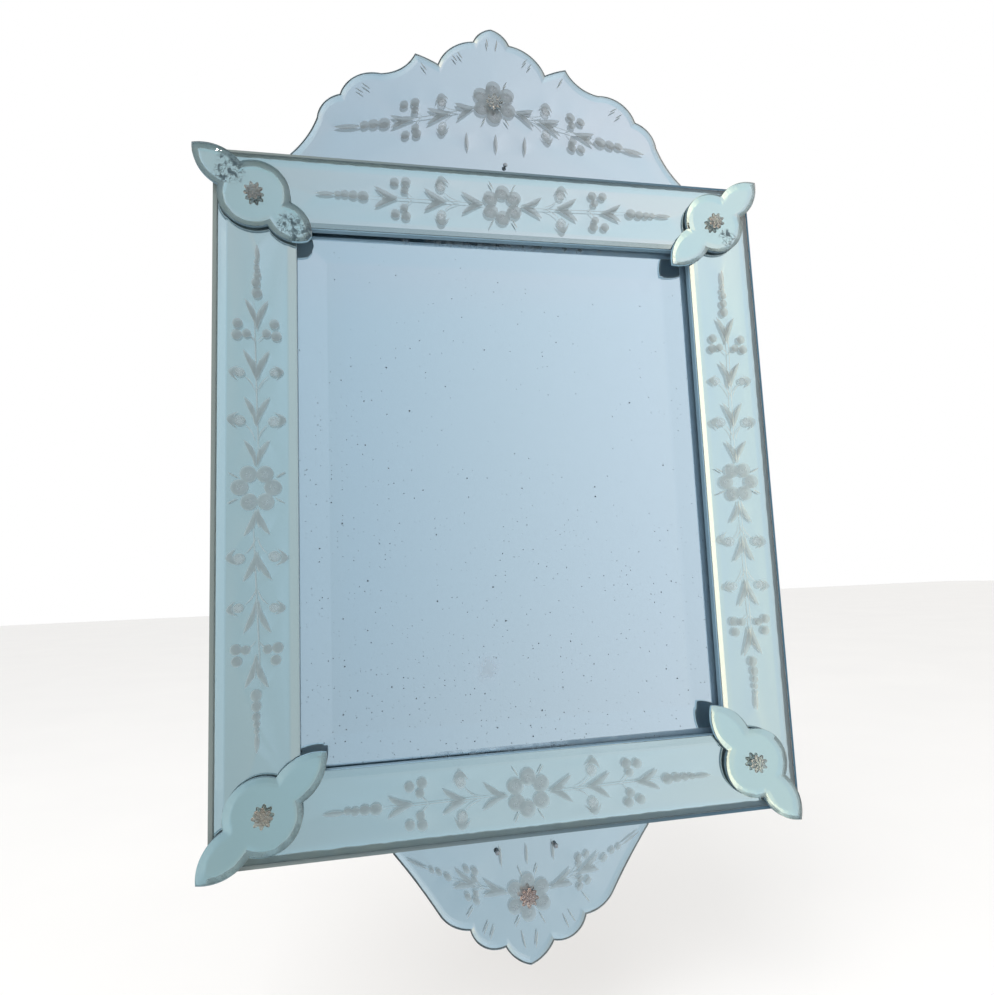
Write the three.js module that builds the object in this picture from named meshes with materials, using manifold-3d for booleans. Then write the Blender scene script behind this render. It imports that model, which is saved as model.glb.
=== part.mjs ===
// Wall mirror in the Venetian manner: a bevelled centre mirror behind four raised, engraved border strips,
// a scalloped crest and pendant, four leaf-shaped corner medallions and six small flower rosettes.
//
// Millimetres. Everything is first laid out as seen from the front: X to the right, Y up and Z towards the
// viewer, with Z = 0 on the front of the border strips and the origin at the middle of the frame. The last
// lines stand that layout up, so that +Z is up, the mirror faces -Y and the origin is where it hangs.

import * as THREE from 'three';
import { mergeVertices } from 'three/addons/utils/BufferGeometryUtils.js';
import Module from 'manifold-3d';

const wasm = await Module();
wasm.setup();

// Frame
const frameHalfWidth = 220;        // centre line to the outer edge of a side strip
const frameHalfHeight = 259;       // centre line to the outer edge of the top strip
const stripWidth = 57.5;
const woodRim = 3.5;               // dark wood that shows outside the strips
const mitreGap = 0.6;              // between two strips, and between two rails
const restGap = 0.3;               // between pieces that rest on each other

// Glass
const glassThickness = 4;
const bevelWidth = 7;
const bevelDrop = 1.9;
const centreBevelWidth = 25;
const centreBevelDrop = 1.7;
const centreHiddenEdge = 3;        // what the rails hide of the centre mirror
const centreEdgePlay = 1.5;        // room around the centre mirror in its rebate

// Wood
const railLipThickness = 4.7;      // in front of the centre mirror
const railSeatThickness = 8.7;     // in front of the crest and the pendant
const boardThickness = 6.4;
const boardInset = 11;             // from the outline of crest and pendant to the board behind them

// Crest and pendant
const crestHeight = 141.5;         // apex above the top edge of the strips
const crestHalfWidth = 168;        // where it leaves the frame
const pendantDrop = 97;            // apex below the lower edge of the strips
const pendantHalfWidth = 99;
const plateTuck = 22;              // how far crest and pendant reach in behind the rails
const plateTuckPlay = 2.5;
const scallopBevelWidth = 5;
const scallopBevelDrop = 1.6;
const crossingLimit = 0.93;        // share of its width that a bevel keeps where two scallops meet

// Medallions
const discRadius = 26.5;
const leafReach = 58;              // disc centre to leaf tip
const leafRootAngle = 28;          // degrees from the leaf's axis to where it leaves the disc
const leafBulge = 5.5;
const medallionThickness = 4.5;
const medallionBevelWidth = 5.5;
const medallionBevelDrop = 2;
const medallionFromEdge = 32.5;    // disc centre in from both outer edges of the strips
const discSteps = 14;
const leafSteps = 7;

// Rosettes
const rosetteRadius = 7.6;
const rosetteHeight = 4.6;
const rosettePetals = 8;

// Pins that hold crest and pendant to the board
const pinHeadRadius = 1.9;
const pinHeadHeight = 1.3;
const pinHeadCrown = 0.75;         // share of its radius and height where a head turns over
const pinShankRadius = 0.9;
const pinHoleClearance = 0.3;
const pinDepthInBoard = 4;
const crestPinAboveStrip = 15;
const crestPinOffset = 7;          // the crest's one pin sits right of the middle
const pendantPinBelowStrip = 15;
const pendantPinSpread = 22.5;     // pendant pins left and right of the middle
const cutThrough = 1;              // how far a cutting shape passes the face that it opens

// Engraving
const cutDepth = 0.45;
const leafWidth = 4;
const uprightWidth = 3;
const rayWidth = 1.6;
const edgeCutWidth = 1.5;
const leafShoulder = 0.3;          // share of a stroke's length where it is nearly at full width
const leafFullness = 0.85;
const cornerClear = 74;            // from a corner of the frame to the tip of a strip's spray

// Where it hangs: above the middle of the frame, on the back
const hangHeight = 200;

// Levels along Z, from the strips' front to the back
const strip = { front: 0, back: -glassThickness };
const rail = { front: strip.back - restGap };
rail.lip = rail.front - railLipThickness;
rail.seat = rail.front - railSeatThickness;
const centre = { front: rail.lip - restGap };
centre.back = centre.front - glassThickness;
const scallop = { front: rail.seat - restGap };
scallop.back = scallop.front - glassThickness;
rail.back = Math.min(scallop.back, centre.back);
const board = { front: rail.back - restGap };
board.back = board.front - boardThickness;
const medallion = { back: strip.front + restGap };
medallion.front = medallion.back + medallionThickness;

// Materials
function finish(color, roughness, metalness) {
  return new THREE.MeshStandardMaterial({ color, roughness, metalness });
}

const centreFinish = () => finish(0xb2c6d2, 0.04, 1);
const stripFinish = () => finish(0xa7bec3, 0.05, 1);
const scallopFinish = () => finish(0xafc3cd, 0.05, 1);
const medallionFinish = () => finish(0x9fb9c1, 0.06, 1);
const rosetteFinish = () => finish(0xa39a92, 0.3, 0.6);
const pinFinish = () => finish(0x5d6b70, 0.45, 0.8);
const railFinish = () => finish(0x46525a, 0.7, 0);
const boardFinish = () => finish(0x6b5844, 0.85, 0);

// A closed body is gathered triangle by triangle, with vertices as [x, y, z].
class Body {
  constructor() {
    this.positions = [];
  }

  triangle(a, b, c) {
    this.positions.push(...a, ...b, ...c);
  }

  // A flat face inside a contour, which is a list of [x, y].
  face(contour, level, upward = true) {
    const corners = contour.map(([x, y]) => new THREE.Vector2(x, y));
    for (const indices of THREE.ShapeUtils.triangulateShape(corners, [])) {
      const [a, b, c] = indices.map((i) => [...contour[i], level]);
      const turnsLeft = (b[0] - a[0]) * (c[1] - a[1]) - (b[1] - a[1]) * (c[0] - a[0]) > 0;
      if (turnsLeft === upward) {
        this.triangle(a, b, c);
      } else {
        this.triangle(a, c, b);
      }
    }
  }

  // Upright walls below a contour that runs anticlockwise.
  walls(contour, low, high) {
    contour.forEach(([x, y], i) => {
      const [nextX, nextY] = contour[(i + 1) % contour.length];
      this.triangle([x, y, low], [nextX, nextY, low], [nextX, nextY, high]);
      this.triangle([x, y, low], [nextX, nextY, high], [x, y, high]);
    });
  }

  // The sides of a hollow that falls from its outline to one lowest point.
  hollow({ outline, middle }, surface, depth) {
    outline.forEach(([x, y], i) => {
      const [nextX, nextY] = outline[(i + 1) % outline.length];
      this.triangle([nextX, nextY, surface], [x, y, surface], [...middle, surface - depth]);
    });
  }

  geometry() {
    const geometry = new THREE.BufferGeometry();
    geometry.setAttribute('position', new THREE.Float32BufferAttribute(this.positions, 3));
    return mergeVertices(geometry, 1e-4);
  }
}

// Plane outlines, as lists of [x, y]
const radians = (degrees) => (degrees * Math.PI) / 180;
const turn = ([x, y], angle) => {
  const [c, s] = [Math.cos(angle), Math.sin(angle)];
  return [x * c - y * s, x * s + y * c];
};
const shift = ([x, y], [dx, dy]) => [x + dx, y + dy];
const mirrorX = ([x, y]) => [-x, y];

function signedArea(points) {
  return points.reduce((sum, [x, y], i) => {
    const [nextX, nextY] = points[(i + 1) % points.length];
    return sum + (x * nextY - nextX * y) / 2;
  }, 0);
}

const anticlockwise = (points) => (signedArea(points) < 0 ? [...points].reverse() : points);

// Points after the first end of an arc that leaves the chord by bulge, to the left of its direction.
function arc([x0, y0], [x1, y1], bulge, steps) {
  const [dx, dy] = [x1 - x0, y1 - y0];
  const chord = Math.hypot(dx, dy);
  if (Math.abs(bulge) < 1e-6) return [[x1, y1]];
  const radius = (chord * chord / 4 + bulge * bulge) / (2 * bulge);
  const half = 2 * Math.atan((2 * bulge) / chord);
  const points = [];
  for (let i = 1; i <= steps; i += 1) {
    const angle = -half + (2 * half * i) / steps;
    const along = chord / 2 + radius * Math.sin(angle);
    const away = radius * Math.cos(angle) - (radius - bulge);
    points.push([x0 + (dx * along - dy * away) / chord, y0 + (dy * along + dx * away) / chord]);
  }
  return points;
}

function distanceToOutline([x, y], outline) {
  let least = Infinity;
  outline.forEach(([x0, y0], i) => {
    const [x1, y1] = outline[(i + 1) % outline.length];
    const [dx, dy] = [x1 - x0, y1 - y0];
    const share = Math.min(1, Math.max(0, ((x - x0) * dx + (y - y0) * dy) / (dx * dx + dy * dy)));
    least = Math.min(least, Math.hypot(x - x0 - share * dx, y - y0 - share * dy));
  });
  return least;
}

// The outline moved inwards: each corner goes along its bisector, and a corner that would cross is null.
function movedCorners(outline, width) {
  const count = outline.length;
  return outline.map(([x, y], i) => {
    const [px, py] = outline[(i + count - 1) % count];
    const [nx, ny] = outline[(i + 1) % count];
    const before = Math.hypot(x - px, y - py);
    const after = Math.hypot(nx - x, ny - y);
    const normalX = -(y - py) / before - (ny - y) / after;
    const normalY = (x - px) / before + (nx - x) / after;
    const scale = (2 * width) / (normalX * normalX + normalY * normalY);
    const point = [x + normalX * scale, y + normalY * scale];
    return distanceToOutline(point, outline) > width * crossingLimit ? point : null;
  });
}

const inset = (outline, width) => movedCorners(outline, width).filter(Boolean);

// For each outline corner, which kept inner corner it slopes to: its own, or the nearer of its neighbours'.
function innerCornerOf(moved) {
  const count = moved.length;
  const keptBefore = moved.map((_, i) => moved.slice(0, i).filter(Boolean).length);
  const keptInAll = moved.filter(Boolean).length;
  return moved.map((_, i) => {
    for (let step = 0; step < count; step += 1) {
      if (moved[(i + count - step) % count]) return keptBefore[(i + count - step) % count];
      if (moved[(i + step) % count]) return keptBefore[(i + step) % count] % keptInAll;
    }
    return 0;
  });
}

// A glass plate with a bevel all round.
function bevelledPlate(outline, level, bevel) {
  const body = new Body();
  const edge = anticlockwise(outline);
  const moved = movedCorners(edge, bevel.width);
  const flat = moved.filter(Boolean);
  const inner = innerCornerOf(moved);
  const low = level.front - bevel.drop;
  const high = (k) => [...flat[k % flat.length], level.front];
  edge.forEach(([x, y], i) => {
    const next = (i + 1) % edge.length;
    const [nextX, nextY] = edge[next];
    const steps = (inner[next] - inner[i] + flat.length) % flat.length;
    for (let k = inner[i]; k < inner[i] + steps; k += 1) {
      body.triangle([x, y, low], high(k + 1), high(k));
    }
    body.triangle([x, y, low], [nextX, nextY, low], high(inner[next]));
  });
  body.face(flat, level.front);
  body.walls(edge, level.back, low);
  body.face(edge, level.back, false);
  return body.geometry();
}

// A plain board.
function flatBoard(outline, level) {
  const body = new Body();
  const edge = anticlockwise(outline);
  body.face(edge, level.front);
  body.walls(edge, level.back, level.front);
  body.face(edge, level.back, false);
  return body.geometry();
}

// A bar along the top side of a frame, with mitred ends. Its profile is a list of [y, z], clockwise with y
// to the right and z up.
function mitredBar(profile, halfRunAt) {
  const body = new Body();
  profile.forEach(([y, z], i) => {
    const [nextY, nextZ] = profile[(i + 1) % profile.length];
    const [run, nextRun] = [halfRunAt(y), halfRunAt(nextY)];
    body.triangle([-run, y, z], [run, y, z], [nextRun, nextY, nextZ]);
    body.triangle([-run, y, z], [nextRun, nextY, nextZ], [-nextRun, nextY, nextZ]);
  });
  const section = profile.map(([y, z]) => new THREE.Vector2(y, z));
  for (const [a, b, c] of THREE.ShapeUtils.triangulateShape(section, [])) {
    const at = (i, side) => [side * halfRunAt(profile[i][0]), ...profile[i]];
    const turnsLeft = THREE.ShapeUtils.area([section[a], section[b], section[c]]) > 0;
    const [first, last] = turnsLeft ? [a, c] : [c, a];
    body.triangle(at(first, 1), at(b, 1), at(last, 1));
    body.triangle(at(last, -1), at(b, -1), at(first, -1));
  }
  return body.geometry();
}

// Booleans
function solidOf(geometry) {
  const bare = geometry.clone();
  bare.deleteAttribute('normal');
  bare.deleteAttribute('uv');
  const merged = mergeVertices(bare, 1e-4);
  return new wasm.Manifold(new wasm.Mesh({
    numProp: 3,
    vertProperties: new Float32Array(merged.attributes.position.array),
    triVerts: new Uint32Array(merged.index.array),
  }));
}

function geometryOf(solid) {
  const mesh = solid.getMesh();
  const geometry = new THREE.BufferGeometry();
  geometry.setAttribute('position', new THREE.Float32BufferAttribute(mesh.vertProperties, 3));
  geometry.setIndex([...mesh.triVerts]);
  return geometry;
}

function cutAway(geometry, ...tools) {
  return geometryOf(tools.reduce((solid, tool) => solid.subtract(solidOf(tool)), solidOf(geometry)));
}

// Wheel cuts in a plate's front, where they may touch or cross.
function engrave(geometry, cuts, surface) {
  const grinders = cuts.map((cut) => {
    const body = new Body();
    const above = surface + cutDepth;
    body.face(cut.outline, above);
    body.walls(cut.outline, surface, above);
    body.hollow(cut, surface, cutDepth);
    return solidOf(body.geometry());
  });
  return geometryOf(solidOf(geometry).subtract(wasm.Manifold.union(grinders)));
}

function boxBetween([x0, y0, z0], [x1, y1, z1]) {
  const box = new THREE.BoxGeometry(x1 - x0, y1 - y0, z1 - z0);
  return box.translate((x0 + x1) / 2, (y0 + y1) / 2, (z0 + z1) / 2);
}

// A round bar along Z.
function roundBar(radius, [x, y], low, high, sides = 12) {
  const bar = new THREE.CylinderGeometry(radius, radius, high - low, sides);
  return bar.rotateX(Math.PI / 2).translate(x, y, (low + high) / 2);
}

// Wheel cuts. A leaf stroke is a slender lens, a berry a round dimple, a petal a broad oval.
function leafStroke(from, to, width, bend = 0) {
  const [dx, dy] = [to[0] - from[0], to[1] - from[1]];
  const length = Math.hypot(dx, dy);
  const [alongX, alongY] = [dx / length, dy / length];
  const at = (share, side) => {
    const away = bend * 4 * share * (1 - share) + side;
    return [from[0] + dx * share - alongY * away, from[1] + dy * share + alongX * away];
  };
  const half = (leafFullness * width) / 2;
  const [near, far] = [leafShoulder, 1 - leafShoulder];
  const outline = [at(0, 0), at(near, -half), at(far, -half), at(1, 0), at(far, half), at(near, half)];
  return { outline: anticlockwise(outline), middle: at(0.5, 0) };
}

function berry(centrePoint, radius, sides = 6) {
  const outline = [];
  for (let i = 0; i < sides; i += 1) {
    outline.push(shift(turn([radius, 0], (2 * Math.PI * i) / sides), centrePoint));
  }
  return { outline, middle: centrePoint };
}

// A tulip head seen from the side, as shares of its size: a cup from its foot to two points and back.
const tulipSide = [[-0.35, -0.5], [0.35, -0.62], [0.62, -0.55]];
const tulipShape = [[-0.55, 0], ...tulipSide, [0.3, 0], ...[...tulipSide].reverse().map(([x, y]) => [x, -y])];

function tulip(centrePoint, size, angle) {
  const outline = tulipShape.map(([x, y]) => shift(turn([x * size, y * size], angle), centrePoint));
  return { outline: anticlockwise(outline), middle: centrePoint };
}

function everyPoint(cut, move) {
  return { outline: anticlockwise(cut.outline.map(move)), middle: move(cut.middle) };
}

// Six round petals around a plain middle, with short rays above and below.
const petalCount = 6;
const stripFlower = { petal: 5, ring: 11, rays: [60, 120, 240, 300] };
const crestFlower = { petal: 5.8, ring: 13, rays: [60, 240, 300] };
const pendantFlower = { petal: 5, ring: 12, rays: [70, 110, 250, 290] };
const rayFrom = 3;                 // from the ring of petals' middles
const rayTo = 9.5;

function flower(centrePoint, { petal, ring, rays }) {
  const cuts = [];
  for (let i = 0; i < petalCount; i += 1) {
    cuts.push(berry(shift(turn([0, ring], (2 * Math.PI * i) / petalCount), centrePoint), petal, 8));
  }
  for (const degrees of rays) {
    const ends = [rayFrom, rayTo].map((reach) => (
      shift(turn([ring + reach, 0], radians(degrees)), centrePoint)));
    cuts.push(leafStroke(...ends, rayWidth));
  }
  return cuts;
}

// A spray grows from a flower along +X: pairs of leaves, tulips, bunches of berries, then a chain of beads
// that shrink to a pointed tip. Places are distances from the flower's middle.
const pairRoot = 0.9;
const pairBend = 1.2;
const bunch = [{ along: -3.5, away: 7.6, radius: 3.2 }, { along: -4.5, away: 14.2, radius: 3.4 },
  { along: 4, away: 13.4, radius: 3.8 }];
const beadShrink = 0.14;           // each bead is this share of the first one smaller than the one before
const beadOverlap = 0.07;

function spray({ pairs, tulips, berries, chain }) {
  const cuts = [];
  for (const { from, to, spread } of pairs) {
    for (const side of [-1, 1]) {
      cuts.push(leafStroke([from, side * pairRoot], [to, side * spread], leafWidth, side * pairBend));
    }
  }
  for (const { at, away, size } of tulips) {
    for (const side of [-1, 1]) {
      cuts.push(tulip([at, side * away], size, side * Math.PI / 2));
    }
  }
  for (const at of berries) {
    for (const side of [-1, 1]) {
      cuts.push(...bunch.map(({ along, away, radius }) => berry([at + along, side * away], radius)));
    }
  }
  const { from, beads, pitch, radius, tip } = chain;
  let at = from;
  for (let i = 0; i < beads; i += 1) {
    const shrink = 1 - i * beadShrink;
    cuts.push(berry([at, 0], radius * shrink));
    at += pitch * (shrink - beadOverlap);
  }
  cuts.push(leafStroke([at, 0], [at + tip, 0], radius));
  return cuts;
}

const horizontalSpray = {
  drawnFor: { tip: 146, halfWidth: 21.75 },
  pairs: [{ from: 16, to: 34, spread: 9.5 }, { from: 45, to: 63, spread: 9.5 },
    { from: 90, to: 103, spread: 7 }],
  tulips: [{ at: 50, away: 13.5, size: 12 }],
  berries: [81],
  chain: { from: 110, beads: 4, pitch: 8.6, radius: 3.9, tip: 9 },
};

const verticalSpray = {
  drawnFor: { tip: 185, halfWidth: 21.75 },
  pairs: [{ from: 16, to: 34, spread: 9.5 }, { from: 45, to: 66, spread: 9.5 },
    { from: 82, to: 103, spread: 9.5 }, { from: 126, to: 142, spread: 8 }],
  tulips: [{ at: 50, away: 13.5, size: 12 }, { at: 87, away: 13.5, size: 12 }],
  berries: [118],
  chain: { from: 148, beads: 5, pitch: 8.6, radius: 3.9, tip: 8 },
};

function bothWays(cuts) {
  return [...cuts, ...cuts.map((cut) => everyPoint(cut, mirrorX))];
}

// A strip's sprays are drawn for one length and width, and stretched to end clear of the medallions and to
// stay on the flat between the bevels.
function stripEngraving({ plan, reach, run }) {
  const line = [0, reach - stripWidth / 2];
  const { tip, halfWidth } = plan.drawnFor;
  const [along, across] = [(run - cornerClear) / tip, (stripWidth / 2 - bevelWidth) / halfWidth];
  const cuts = [...flower([0, 0], stripFlower), ...bothWays(spray(plan))];
  return cuts.map((cut) => everyPoint(cut, ([x, y]) => shift([x * along, y * across], line)));
}

// Border strips and wooden rails. Both are drawn as the top side of a frame and turned into place.
const frameSides = {
  top: { reach: frameHalfHeight, run: frameHalfWidth, angle: 0, plan: horizontalSpray },
  left: { reach: frameHalfWidth, run: frameHalfHeight, angle: 90, plan: verticalSpray },
  bottom: { reach: frameHalfHeight, run: frameHalfWidth, angle: 180, plan: horizontalSpray },
  right: { reach: frameHalfWidth, run: frameHalfHeight, angle: 270, plan: verticalSpray },
};

function mitreLine({ reach, run }) {
  return (y) => run + (y - reach) - mitreGap / Math.SQRT2;
}

function stripGeometry(side) {
  const [inner, outer] = [side.reach - stripWidth, side.reach];
  const low = strip.front - bevelDrop;
  const profile = [[inner, strip.back], [inner, low], [inner + bevelWidth, strip.front],
    [outer - bevelWidth, strip.front], [outer, low], [outer, strip.back]];
  return engrave(mitredBar(profile, mitreLine(side)), stripEngraving(side), strip.front);
}

// The rail's lip reaches in over the centre mirror, and its back is cut out for crest or pendant.
function railGeometry(side, pocketHalfWidth) {
  const [inner, outer] = [side.reach - stripWidth, side.reach + woodRim];
  const rebate = inner + centreHiddenEdge + centreEdgePlay;
  const profile = [[inner, rail.lip], [inner, rail.front], [outer, rail.front], [outer, rail.back],
    [rebate, rail.back], [rebate, rail.lip]];
  const bar = mitredBar(profile, mitreLine(side));
  if (!pocketHalfWidth) return bar;
  const pocket = boxBetween(
    [-pocketHalfWidth, side.reach - plateTuck - plateTuckPlay, rail.back - cutThrough],
    [pocketHalfWidth, outer + cutThrough, rail.seat],
  );
  return cutAway(bar, pocket);
}

// Scalloped outlines: the right half from the apex outwards, in steps of [x, y, bulge of the arc so far].
function scallopedPlate(apexY, steps, footY) {
  const half = [[0, apexY]];
  for (const [x, y, bulge, count] of steps) {
    half.push(...arc(half[half.length - 1], [x, y], bulge, count));
  }
  half.push([half[half.length - 1][0], footY]);
  return anticlockwise([...half, ...half.slice(1).reverse().map(mirrorX)]);
}

// Heights of the crest above the strips' edge and widths from its middle, as shares of its own size
function crestOutline() {
  const [w, h, base] = [crestHalfWidth, crestHeight, frameHalfHeight];
  const steps = [
    [0.095 * w, base + 0.905 * h, 2.6, 4],
    [0.28 * w, base + 0.732 * h, 5.6, 6],
    [0.393 * w, base + 0.784 * h, 0.6, 2],
    [0.565 * w, base + 0.632 * h, -4.6, 5],
    [0.765 * w, base + 0.475 * h, 7.4, 7],
    [0.875 * w, base + 0.315 * h, 4.4, 5],
    [w, base + 0.078 * h, -2.2, 4],
  ];
  return scallopedPlate(base + h, steps, base - plateTuck);
}

function pendantOutline() {
  const [w, h, base] = [pendantHalfWidth, pendantDrop, frameHalfHeight];
  const steps = [
    [0.187 * w, base + 0.85 * h, 2.4, 4],
    [0.45 * w, base + 0.696 * h, 6.4, 7],
    [0.67 * w, base + 0.567 * h, 2.8, 4],
    [w, base + 0.085 * h, -0.8, 4],
  ];
  return scallopedPlate(base + h, steps, base - plateTuck).map(([x, y]) => [x, -y]);
}

// The crest's spray hangs outwards and the pendant's rises: both follow a gentle curve.
const crestSpray = {
  fall: 0.36,
  curve: -0.0007,
  pairs: [{ from: 19, to: 34, spread: 9 }, { from: 37, to: 57, spread: 7 }, { from: 68, to: 87, spread: 5 }],
  tulips: [{ at: 44, away: 11.5, size: 11 }],
  berries: [71],
  chain: { from: 94, beads: 3, pitch: 9.6, radius: 4.4, tip: 13 },
};

const pendantSpray = {
  fall: -0.25,
  curve: -0.0018,
  pairs: [{ from: 18, to: 34, spread: 6 }, { from: 38, to: 54, spread: 6 }],
  tulips: [],
  berries: [42],
  chain: { from: 61, beads: 2, pitch: 7, radius: 3.1, tip: 12 },
};

function bentSpray(plan, middle) {
  const bend = ([x, y]) => [x, y - plan.fall * x - plan.curve * x * x];
  const cuts = bothWays(spray(plan).map((cut) => everyPoint(cut, bend)));
  return cuts.map((cut) => everyPoint(cut, (point) => shift(point, middle)));
}

const flowerShare = 0.505;         // how far up the crest, and down the pendant, its flower sits
const crestFlowerY = frameHalfHeight + flowerShare * crestHeight;
const pendantFlowerY = -(frameHalfHeight + flowerShare * pendantDrop);
const crestStrokes = { length: 17, spread: 25, fromFlower: -37.5 };
const pendantStrokes = { length: 15, spread: 20, fromFlower: 30 };

function uprightStrokes({ length, spread, fromFlower }, flowerY) {
  const y = flowerY + fromFlower;
  return [-spread, 0, spread].map((x) => (
    leafStroke([x, y - length / 2], [x, y + length / 2], uprightWidth)));
}

// Short cuts point in from the scallops, two or three to each. They start at shares of the plate's width and
// height.
function edgeCuts(marks, halfWidth, heightAt) {
  return bothWays(marks.map(({ across, up, angle, length }) => {
    const start = [across * halfWidth, heightAt(up)];
    return leafStroke(start, shift(start, turn([length, 0], radians(angle))), edgeCutWidth);
  }));
}

const crestMarks = [
  { across: 0.03, up: 0.922, angle: 262, length: 8 },
  { across: 0.182, up: 0.816, angle: 235, length: 8 },
  { across: 0.208, up: 0.792, angle: 232, length: 7 },
  { across: 0.372, up: 0.717, angle: 235, length: 9 },
  { across: 0.661, up: 0.548, angle: 215, length: 9 },
  { across: 0.69, up: 0.512, angle: 212, length: 8 },
];

const pendantMarks = [
  { across: 0.04, up: 0.876, angle: 80, length: 9 },
  { across: 0.303, up: 0.773, angle: 110, length: 7 },
  { across: 0.354, up: 0.732, angle: 118, length: 7 },
  { across: 0.475, up: 0.598, angle: 125, length: 6 },
];

function crestCuts() {
  const middle = [0, crestFlowerY];
  return [
    ...flower(middle, crestFlower),
    ...bentSpray(crestSpray, middle),
    ...uprightStrokes(crestStrokes, crestFlowerY),
    ...edgeCuts(crestMarks, crestHalfWidth, (up) => frameHalfHeight + up * crestHeight),
  ];
}

function pendantCuts() {
  const middle = [0, pendantFlowerY];
  return [
    ...flower(middle, pendantFlower),
    ...bentSpray(pendantSpray, middle),
    ...uprightStrokes(pendantStrokes, pendantFlowerY),
    ...edgeCuts(pendantMarks, pendantHalfWidth, (down) => -(frameHalfHeight + down * pendantDrop)),
  ];
}

// Pins
const pinPlaces = {
  crest_pin: [crestPinOffset, frameHalfHeight + crestPinAboveStrip],
  pendant_pin_left: [-pendantPinSpread, -(frameHalfHeight + pendantPinBelowStrip)],
  pendant_pin_right: [pendantPinSpread, -(frameHalfHeight + pendantPinBelowStrip)],
};

function pinHole(name, low, high) {
  return roundBar(pinShankRadius + pinHoleClearance, pinPlaces[name], low, high);
}

function pinGeometry([x, y]) {
  const seat = scallop.front + restGap;
  const point = board.front - pinDepthInBoard;
  const profile = [[0, point], [pinShankRadius, point + pinShankRadius], [pinShankRadius, seat],
    [pinHeadRadius, seat], [pinHeadCrown * pinHeadRadius, seat + pinHeadCrown * pinHeadHeight],
    [0, seat + pinHeadHeight]];
  const head = new THREE.LatheGeometry(profile.map(([r, h]) => new THREE.Vector2(r, h)), 12);
  return head.rotateX(Math.PI / 2).translate(x, y, 0);
}

// The board fills the frame and carries crest and pendant on a tongue of each one's own shape.
function boardOutline() {
  const [halfWidth, halfHeight] = [frameHalfWidth, frameHalfHeight];
  const tongue = (outline) => {
    const beyond = inset(anticlockwise(outline), boardInset).filter(([, y]) => Math.abs(y) > halfHeight);
    const rightmost = Math.max(...beyond.map(([x]) => x));
    const edgeY = Math.sign(beyond[0][1]) * halfHeight;
    return [[rightmost, edgeY], ...beyond, [-rightmost, edgeY]].sort((a, b) => b[0] - a[0]);
  };
  return [
    [halfWidth, -halfHeight], [halfWidth, halfHeight], ...tongue(crestOutline()),
    [-halfWidth, halfHeight], [-halfWidth, -halfHeight], ...tongue(pendantOutline()).reverse(),
  ];
}

// Each medallion was set by hand, a little off the corner's diagonal.
const corners = {
  top_left: { right: -1, up: 1, offset: [-5.5, -2], angle: 140 },
  top_right: { right: 1, up: 1, offset: [-0.5, -0.5], angle: 43.5 },
  bottom_left: { right: -1, up: -1, offset: [0.5, -0.5], angle: 222.5 },
  bottom_right: { right: 1, up: -1, offset: [-2.5, 2], angle: 307 },
};

// Medallions: a disc with a pointed leaf each way along its axis
function medallionOutline() {
  const root = turn([discRadius, 0], radians(leafRootAngle));
  const half = [[leafReach, 0], ...arc([leafReach, 0], root, -leafBulge, leafSteps)];
  for (let i = 1; i <= discSteps; i += 1) {
    const angle = leafRootAngle + ((180 - 2 * leafRootAngle) * i) / discSteps;
    half.push(turn([discRadius, 0], radians(angle)));
  }
  half.push(...arc(half[half.length - 1], [-leafReach, 0], -leafBulge, leafSteps));
  const lower = half.slice(1, -1).map(([x, y]) => [x, -y]).reverse();
  return [...half, ...lower];
}

// Rosette: petals that rise from a scalloped edge to a ridge, around a raised button. Rings are shares of the
// rosette's own radius and height, and wave is the dip between two petals.
const rosetteRings = [
  { radius: 1, height: 0.28, wave: 0.07 },
  { radius: 0.86, height: 0.6, wave: 0.05 },
  { radius: 0.56, height: 0.72, wave: 0.02 },
  { radius: 0.38, height: 0.5, wave: 0 },
  { radius: 0.3, height: 0.88, wave: 0 },
];

function rosetteGeometry([x, y], seat) {
  const body = new Body();
  const rings = rosetteRings;
  const count = 2 * rosettePetals;
  const place = ({ radius, height, wave }, i) => {
    const reach = rosetteRadius * (i % 2 ? radius - 2 * wave : radius);
    const rise = rosetteHeight * (i % 2 ? height - 2 * wave : height);
    const [px, py] = turn([reach, 0], (2 * Math.PI * i) / count);
    return [x + px, y + py, seat + rise];
  };
  const foot = (i) => [...place(rings[0], i).slice(0, 2), seat];
  const top = [x, y, seat + rosetteHeight];
  for (let i = 0; i < count; i += 1) {
    const next = (i + 1) % count;
    body.triangle([x, y, seat], foot(next), foot(i));
    body.triangle(foot(i), foot(next), place(rings[0], next));
    body.triangle(foot(i), place(rings[0], next), place(rings[0], i));
    rings.slice(1).forEach((ring, k) => {
      const outer = rings[k];
      body.triangle(place(outer, i), place(outer, next), place(ring, next));
      body.triangle(place(outer, i), place(ring, next), place(ring, i));
    });
    body.triangle(place(rings[rings.length - 1], i), place(rings[rings.length - 1], next), top);
  }
  return body.geometry();
}

// Assembly
const layout = new THREE.Group();

function add(name, geometry, material, angle = 0) {
  const mesh = new THREE.Mesh(geometry, material);
  mesh.name = name;
  mesh.rotation.z = radians(angle);
  layout.add(mesh);
  return mesh;
}

function addFrame() {
  const boardHoles = Object.keys(pinPlaces).map((name) => (
    pinHole(name, board.front - pinDepthInBoard - restGap, board.front + cutThrough)));
  add('back_board', cutAway(flatBoard(boardOutline(), board), ...boardHoles), boardFinish());
  const pockets = { top: crestHalfWidth + plateTuckPlay, bottom: pendantHalfWidth + plateTuckPlay };
  for (const [name, side] of Object.entries(frameSides)) {
    add(`rail_${name}`, railGeometry(side, pockets[name]), railFinish(), side.angle);
    add(`strip_${name}`, stripGeometry(side), stripFinish(), side.angle);
  }
}

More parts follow.
